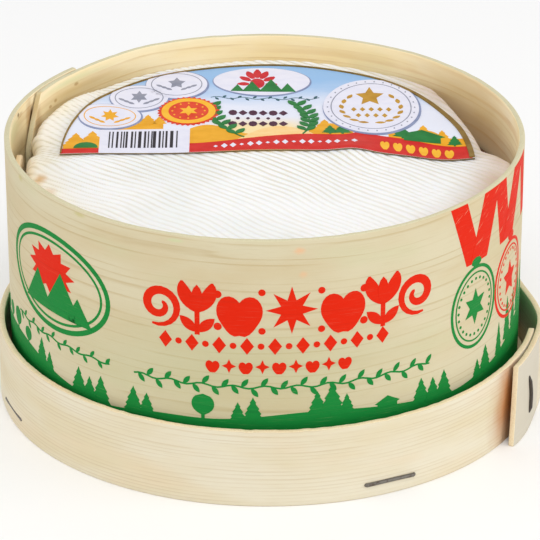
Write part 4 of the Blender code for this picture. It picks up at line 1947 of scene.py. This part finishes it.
@dataclass
class Label:
    """The half-round paper label, printed with a mountain landscape."""

    cheese: Cheese
    middle: float = 0.6 * MM
    half_width: float = 46.5 * MM
    chord: float = 1.0 * MM
    depth: float = 49.5 * MM
    roundness: Point = (2.15, 2.0)
    end_depth: float = 0.8 * MM
    short_of_shoulder: float = 0.8
    over_rind: float = 0.2 * MM
    paper: float = 0.3 * MM
    columns: int = 120
    rows: int = 70
    cut_pitch: float = 1.0
    seed: int = 3
    sheets: dict[str, FlatPrint] = field(
        default_factory=lambda: {name: FlatPrint() for name in LABEL_INKS}
    )

    def outline(self, x: float) -> float:
        """How deep the label is at x, both in metres.

        Args:
            x: metres along +X.

        Returns:
            The depth in metres, behind the straight side.
        """
        across = min(abs(x - self.middle) / self.half_width, 1.0)
        roundness = self.roundness[0 if x < self.middle else 1]
        return self.depth * (1 - across**roundness) ** (1 / roundness)

    def inside(self, x: float, y: float) -> Point:
        """Pulls a point in so that it stays on the flat of the cheese.

        Args:
            x: metres along +X.
            y: metres along +Y.

        Returns:
            The point's new x and y, in metres.
        """
        azimuth = math.degrees(math.atan2(y, x))
        reach = self.cheese.edge_radius(azimuth)
        limit = reach - self.short_of_shoulder * self.cheese.shoulder_width(azimuth)
        share = min(1.0, limit / math.hypot(x, y))
        return x * share, y * share

    def surface(self, x: float, y: float, lift: float) -> Vector:
        """A point over the cheese, in metres."""
        return Vector((x, y, self.cheese.top_height(x, y) + self.over_rind + lift))

    def place(self, u: float, v: float) -> tuple[Vector, Point]:
        """The point and UV of the label's middle surface.

        Args:
            u: share of the way along the straight side.
            v: share of the way to the back.

        Returns:
            The point and its UV, in metres.
        """
        x = self.middle + self.half_width * math.sin((u - 0.5) * math.pi)
        y = self.chord + v * max(self.outline(x), self.end_depth)
        x, y = self.inside(x, y)
        return self.surface(x, y, self.paper / 2), (x, y)

    def on_face(self, x: float, y: float, lift: float) -> Vector:
        """The point over the label for a flat print, in metres."""
        return self.surface(x * MM, y * MM, self.paper + lift * MM)

    @staticmethod
    def band_top(x: float) -> float:
        """The upper edge of the red band at x, both in millimetres.

        Args:
            x: millimetres along +X.

        Returns:
            Its y in millimetres.
        """
        if x < -17.0:
            return 3.8
        fold = 1.7 * math.exp(-(((x - 21.8) / 3.0) ** 2))
        return 6.0 + 4.4 * ease(x, -17.0, 12.0) + fold - 2.6 * ease(x, 24.0, 46.0)

    @staticmethod
    def draw_field(
        sheet: FlatPrint,
        ends: Point,
        low: Callable[[float], float],
        high: Callable[[float], float],
        level: int,
    ) -> None:
        """Fills the field between two heights.

        Args:
            sheet: the print.
            ends: its left and right end.
            low: its lower edge by x.
            high: its upper edge by x.
            level: how many layers of ink lie under it.
        """
        left, right = ends
        steps = max(int((right - left) / 0.8), 2)

        def along(t: float) -> float:
            """The x at a share of the field."""
            return left + t * (right - left)

        sheet.stroke(
            lambda t: (along(t), (low(along(t)) + high(along(t))) / 2),
            lambda t: high(along(t)) - low(along(t)),
            steps,
            level,
            across=(0.0, 1.0),
        )

    def draw_band(self) -> None:
        """Draws the red band along the straight side, with a row of lozenges and hearts."""
        low = self.chord / MM + 0.1
        for ends in ((-45.8, -37.0), (-17.0, 46.6)):
            self.draw_field(self.sheets["red"], ends, lambda x: low, self.band_top, 0)
        for number in range(17):
            x = -11.0 + number * 1.95
            size = (0.75, 1.3) if number % 3 else (0.5, 0.6)
            self.sheets["white"].blob((x, (low + self.band_top(x)) / 2), size, points=4, level=1)
        for number in range(6):
            x = 27.0 + number * 2.9
            spot = (x, (low + self.band_top(x)) / 2)
            self.sheets["yellow"].blob(spot, (1.05, 2.6), heart_edge, points=20, level=1)

    def draw_landscape(self) -> None:
        """Draws golden hills and firs, green trees and a barn behind the band."""
        draw = random.Random(self.seed)
        top = self.band_top
        fields = (
            ("gold", (-45.3, -36.6), lambda x: 6.6 + 0.5 * math.sin(x)),
            ("gold", (-37.0, -23.0), lambda x: 15.2 + 0.28 * (x + 37.0)),
            ("gold", (-17.0, 1.0), lambda x: 9.5 + 6.5 * math.exp(-(((x + 13.0) / 6.5) ** 2))),
            ("peach", (-6.0, 11.0), lambda x: top(x) + 5.5 * math.sin((x + 6.0) / 17.0 * math.pi)),
            ("gold", (10.0, 20.0), lambda x: top(x) + 4.5 + 2.0 * math.sin(x / 1.9)),
            (
                "gold",
                (28.0, 45.6),
                lambda x: top(x) + 4.6 + 1.2 * math.sin(x / 1.4) - 2.0 * ease(x, 42.0, 45.6),
            ),
        )
        for name, ends, high in fields:
            level = 2 if name == "peach" else 1
            self.draw_field(self.sheets[name], ends, lambda x: top(x) - 0.05, high, level)
        for x, tall in ((-42.6, 8.2), (-38.9, 9.0), (-33.0, 4.2), (-30.0, 5.2), (-26.6, 6.4), (-24.0, 5.0)):
            foot = 4.4 if x < -37 else 14.4 + 0.22 * (x + 33.0)
            draw_plant(self.sheets["gold"], Plant.FIR, (x, foot), tall * draw.uniform(0.92, 1.05), 2)
        for x, tall in ((13.6, 8.2), (29.5, 6.4), (36.0, 7.6), (40.2, 6.2)):
            draw_plant(self.sheets["gold"], Plant.FIR, (x, top(x) + 0.6), tall, 2)
        for x, kind, tall in (
            (-40.2, Plant.BUSH, 3.2), (14.8, Plant.FIR, 5.2), (17.6, Plant.FIR, 5.8),
            (31.2, Plant.FIR, 6.2), (35.6, Plant.CHALET, 5.6), (42.9, Plant.FIR, 4.6),
        ):
            draw_plant(self.sheets["leaf"], kind, (x, top(x) + 0.05), tall, 3)

    def draw_panel(self) -> None:
        """Draws a white panel with plain dark stripes."""
        draw = random.Random(self.seed + 1)
        left, right, low, high = -37.2, -16.9, 1.15, 13.9
        self.draw_field(self.sheets["white"], (left, right), lambda x: low, lambda x: high, 3)
        x = left + 2.2
        while x < right - 2.0:
            width = draw.choice((0.3, 0.46, 0.72))
            self.sheets["dark"].line((x, 3.6), (x, 12.7), lambda t, w=width: w, 6, 4)
            x += width + draw.choice((0.3, 0.46, 0.72))

    def draw_roundels(self) -> None:
        """Draws the round fields at the left, each with a plain motif."""
        spots = ((-20.4, 38.8, 7.1, 7.8), (-28.9, 31.3, 6.7, 6.8), (-35.3, 21.1, 7.1, 6.4))
        for number, (x, y, wide, high) in enumerate(spots):
            self.sheets["shade"].blob((x + 0.15, y - 0.3), (wide + 0.3, high + 0.5), points=48, level=3)
            self.sheets["white"].blob((x, y), (wide, high), points=48, level=4)
            ink = "gold" if number == 2 else "silver"
            self.sheets[ink].ring((x, y), (wide * 0.84, high * 0.82), 0.22, level=5)
            tips = 5 + number
            self.sheets[ink].blob((x, y + 0.6), (2.1, 3.2), star_edge(tips, 0.45), points=2 * tips, level=5)
            for side in (-1, 1):
                for step in range(3):
                    foot = (x + side * (1.0 + 1.1 * step), y - 3.4 + 0.9 * step)
                    draw_leaf(self.sheets[ink], foot, 90 - side * 50, 2.0, level=5)

    def draw_seal(self) -> None:
        """Draws the red and gold seal."""
        x, y = -17.4, 23.6
        self.sheets["orange"].blob((x, y), (7.1, 8.0), star_edge(34, 0.09), points=68, level=6)
        self.sheets["yellow"].blob((x, y), (6.2, 7.0), points=48, level=7)
        self.sheets["orange"].blob((x, y), (4.6, 5.2), points=36, level=8)
        for number in range(12):
            angle = math.tau * number / 12
            dot = (x + 3.7 * math.cos(angle), y + 4.2 * math.sin(angle))
            self.sheets["yellow"].blob(dot, (0.24, 0.36), points=6, level=9)
        self.sheets["yellow"].blob((x, y), (2.3, 2.9), star_edge(6, 0.5), points=12, level=9)

    def draw_sun_badge(self) -> None:
        """Draws the oval at the top: a red sun over green peaks."""
        x, y = -0.7, 41.2
        self.sheets["shade"].blob((x + 0.1, y - 0.3), (11.5, 7.9), points=64, level=1)
        self.sheets["white"].blob((x, y), (11.2, 7.5), points=64, level=2)
        for angle in range(0, 181, 30):
            reach = math.radians(angle)
            tip = (x - 1.0 + 4.6 * math.cos(reach), y - 1.6 + 8.2 * math.sin(reach))
            root = (x - 1.0 + 1.9 * math.cos(reach), y - 1.6 + 3.4 * math.sin(reach))
            self.sheets["crimson"].line(root, tip, lambda t: 1.9 * math.sin(math.pi * (0.12 + 0.8 * t)), 6, 3)
        self.sheets["crimson"].blob((x - 1.0, y - 1.2), (1.7, 2.6), points=18, level=4)
        for side, tall in ((-5.6, 3.6), (-2.2, 5.4), (2.2, 6.6), (6.0, 4.4)):
            foot = (x + side, y - 5.6)
            peak = (foot[0], foot[1] + tall)
            self.sheets["leaf"].line(foot, peak, lambda t, h=tall: 0.85 * h * (1 - t), 6, 5)

    def draw_medal(self) -> None:
        """Draws the large white oval at the right, with a gold star over ears of wheat."""
        x, y = 24.4, 26.5
        self.sheets["shade"].blob((x + 0.2, y - 0.5), (11.3, 15.2), points=72, level=4)
        self.sheets["white"].blob((x, y), (11.0, 14.8), points=72, level=5)
        self.sheets["silver"].ring((x, y), (9.3, 12.6), 0.25, points=72, level=6)
        for number in range(30):
            angle = math.tau * number / 30
            dot = (x + 10.0 * math.cos(angle), y + 13.6 * math.sin(angle))
            self.sheets["silver"].blob(dot, (0.2, 0.34), points=6, level=6)
        self.sheets["bronze"].blob((x - 0.2, y + 5.4), (3.4, 5.2), star_edge(5, 0.52), points=10, level=6)
        for side in (-1, 1):
            for step in range(7):
                angle = math.radians(-84 + 20 * step)
                foot = (x + side * 6.6 * math.cos(angle), y - 0.6 + 8.6 * math.sin(angle))
                draw_leaf(self.sheets["bronze"], foot, 90 + side * (18 * step - 82), 2.5, level=6)
        for row, count in ((-1.6, 5), (-5.0, 4)):
            for number in range(count):
                spot = (x + (number - (count - 1) / 2) * 2.0, y + row)
                self.sheets["bronze"].blob(spot, (0.65, 1.2), points=4, level=6)

    def draw_sprigs(self) -> None:
        """Draws two leafy sprigs with rows of dark lozenges between them and a fine garland."""
        def left(t: float) -> Point:
            """The point at a share of the left sprig."""
            return -4.6 - 7.6 * math.sin(1.9 * t) ** 0.8, 8.4 + 20.6 * t

        def right(t: float) -> Point:
            """The point at a share of the right sprig, which keeps clear of the medal."""
            return 8.6 + 2.9 * math.sin(math.pi * t) ** 0.8 - 2.8 * t, 10.2 + 20.0 * t

        def garland(t: float) -> Point:
            """The point at a share of the garland."""
            return -12.4 + 25.0 * t, 31.9 + 0.5 * math.sin(26.0 * t)

        leaves = self.sheets["leaf"]
        for path in (left, right):
            leaves.stroke(path, lambda t: 0.4 * (1.15 - t), 20, 4)
            for number in range(7):
                here = path(0.1 + number * 0.13)
                for hand in (-1, 1):
                    end = (here[0] + hand * 2.1, here[1] + 3.0)
                    level = 6 if hand > 0 else 5
                    leaves.line(here, end, lambda t: 1.6 * math.sin(math.pi * t) ** 0.8, 6, level)
        for y, wide, high, count in ((23.2, 1.0, 1.5, 6), (19.8, 0.45, 0.7, 5), (16.4, 1.0, 1.5, 6)):
            for number in range(count):
                x = -1.5 + (number - (count - 1) / 2) * 2.3
                self.sheets["violet"].blob((x, y), (wide, high), points=4 if number % 2 else 8, level=3)
        self.sheets["teal"].stroke(garland, lambda t: 0.26, 60)
        for number in range(14):
            side = 1 if number % 2 else -1
            draw_leaf(self.sheets["teal"], (-11.4 + number * 1.75, 31.9), side * 58, 1.5, level=1)

    def draw_border(self) -> None:
        """Draws the dark line round the edge, which widens to a bronze border at the right."""
        def width(t: float) -> float:
            """The border's width at a share of the edge."""
            return 0.35 + 0.85 * ease(t, 0.62, 0.9)

        def path(t: float) -> Point:
            """The middle of the border at a share of the edge."""
            x = self.middle + self.half_width * math.sin((0.001 + 0.998 * t - 0.5) * math.pi)
            edge = Vector(self.inside(x, self.chord + max(self.outline(x), self.end_depth / 4))) / MM
            heart = Vector((self.middle / MM, 14.0))
            inward = (heart - edge).normalized()
            return tuple(edge + inward * (width(t) / 2 + 0.05))

        self.sheets["olive"].stroke(path, width, 110, 10)

    def build(self) -> None:
        """Builds the paper and its print."""
        paper = LabelPaper().material()
        # The paper's cut edge is painted dark olive: painted shade along the edge, in the colour of the
        # printed border.
        edge = LabelInk("label_edge", srgb(128, 108, 62), srgb(104, 84, 44)).material()
        bm = make_strip(self.columns, self.rows, self.place)
        sheet = make_piece("label_paper", bm, Slot.LABEL_PAPER, [paper, edge], ("label",))
        give_thickness(sheet, self.paper)
        self.draw_band()
        self.draw_landscape()
        self.draw_panel()
        self.draw_roundels()
        self.draw_seal()
        self.draw_sun_badge()
        self.draw_medal()
        self.draw_sprigs()
        self.draw_border()
        for name, flat in self.sheets.items():
            colour, shade = LABEL_INKS[name]
            ink = LabelInk(f"label_{name}", srgb(*colour), srgb(*shade))
            bm = flat.bend(self.on_face, (self.cut_pitch, self.cut_pitch))
            make_piece(f"label_print_{name}", bm, Slot.LABEL_PAPER, [ink.material()])


def dress_discs() -> None:
    """Gives the lid's disc and the box's base their wood."""
    wood = SawnWood("disc_spruce", srgb(238, 222, 182), srgb(202, 168, 112), (0.05, 1.3, 1.3)).material()
    for name in ("lid_disc", "box_base"):
        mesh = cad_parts[name].data
        mesh.materials.clear()
        mesh.materials.append(wood)
        LOG.info("%s: dressed", name)


@dataclass(frozen=True)
class Studio:
    """The camera at the photograph's view, a pale floor and soft light."""

    lens: float = 273.35
    sensor: float = 36.0
    camera: Place = (0.0, -0.8388, 0.42597)
    target: Place = (0.0, 0.0, 0.029)
    aim_right: float = 1.19 * MM
    aim_down: float = 1.256 * MM
    floor_size: float = 2.4
    floor_height: float = -0.05 * MM

    def place_camera(self) -> None:
        """Places the camera."""
        data = bpy.data.cameras.new("camera")
        data.lens = self.lens
        data.sensor_width = self.sensor
        data.clip_end = 10.0
        camera = bpy.data.objects.new("camera", data)
        bpy.context.scene.collection.objects.link(camera)
        eye = Vector(self.camera)
        look = (Vector(self.target) - eye).normalized()
        up = Vector((1, 0, 0)).cross(look)
        aim = Vector(self.target) + Vector((self.aim_right, 0, 0)) - up * self.aim_down
        camera.location = eye
        camera.rotation_euler = (aim - eye).to_track_quat("-Z", "Y").to_euler()
        bpy.context.scene.camera = camera

    def add_light(self, name: str, place: Place, size: float, power: float, tint: Colour) -> None:
        """Adds a square soft light that looks at the box.

        Args:
            name: its name.
            place: where it hangs, in metres.
            size: its side in metres.
            power: its power in watts.
            tint: its colour.
        """
        data = bpy.data.lights.new(name, "AREA")
        data.size = size
        data.energy = power
        data.color = tint[:3]
        light = bpy.data.objects.new(name, data)
        light.location = place
        light.rotation_euler = (Vector(self.target) - Vector(place)).to_track_quat("-Z", "Y").to_euler()
        bpy.context.scene.collection.objects.link(light)

    def build(self) -> None:
        """Builds the floor, the sky and the lights."""
        bm = bmesh.new()
        bmesh.ops.create_grid(bm, x_segments=1, y_segments=1, size=self.floor_size / 2)
        bmesh.ops.translate(bm, verts=bm.verts, vec=(0, 0, self.floor_height))
        mesh = bpy.data.meshes.new("floor")
        bm.to_mesh(mesh)
        bm.free()
        mesh.materials.append(StudioFloor().material())
        floor = bpy.data.objects.new("floor", mesh)
        bpy.context.scene.collection.objects.link(floor)
        world = bpy.data.worlds.new("studio")
        world.use_nodes = True
        background = world.node_tree.nodes["Background"]
        background.inputs["Color"].default_value = (1.0, 1.0, 1.0, 1.0)
        background.inputs["Strength"].default_value = 0.75
        bpy.context.scene.world = world
        bpy.context.scene.view_settings.view_transform = "Standard"
        white = (1.0, 0.995, 0.985, 1.0)
        self.add_light("key", (0.1, -0.9, 1.2), 0.7, 6.4, white)
        self.add_light("left", (-1.2, -0.35, 0.3), 0.8, 3.0, white)
        self.add_light("right", (1.2, -0.35, 0.3), 0.8, 5.0, white)
        self.place_camera()


def main() -> None:
    """Builds every sub-assembly in order."""
    logging.basicConfig(level=logging.INFO, format="%(name)s %(message)s")
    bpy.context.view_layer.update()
    Studio().build()
    box = BoxWall()
    box.build()
    BoxPrint(box).build()
    Lid().build()
    cheese = Cheese(box)
    cheese.build()
    BarkStrap(cheese).build()
    Label(cheese).build()
    dress_discs()


if __name__ == "__main__":
    main()
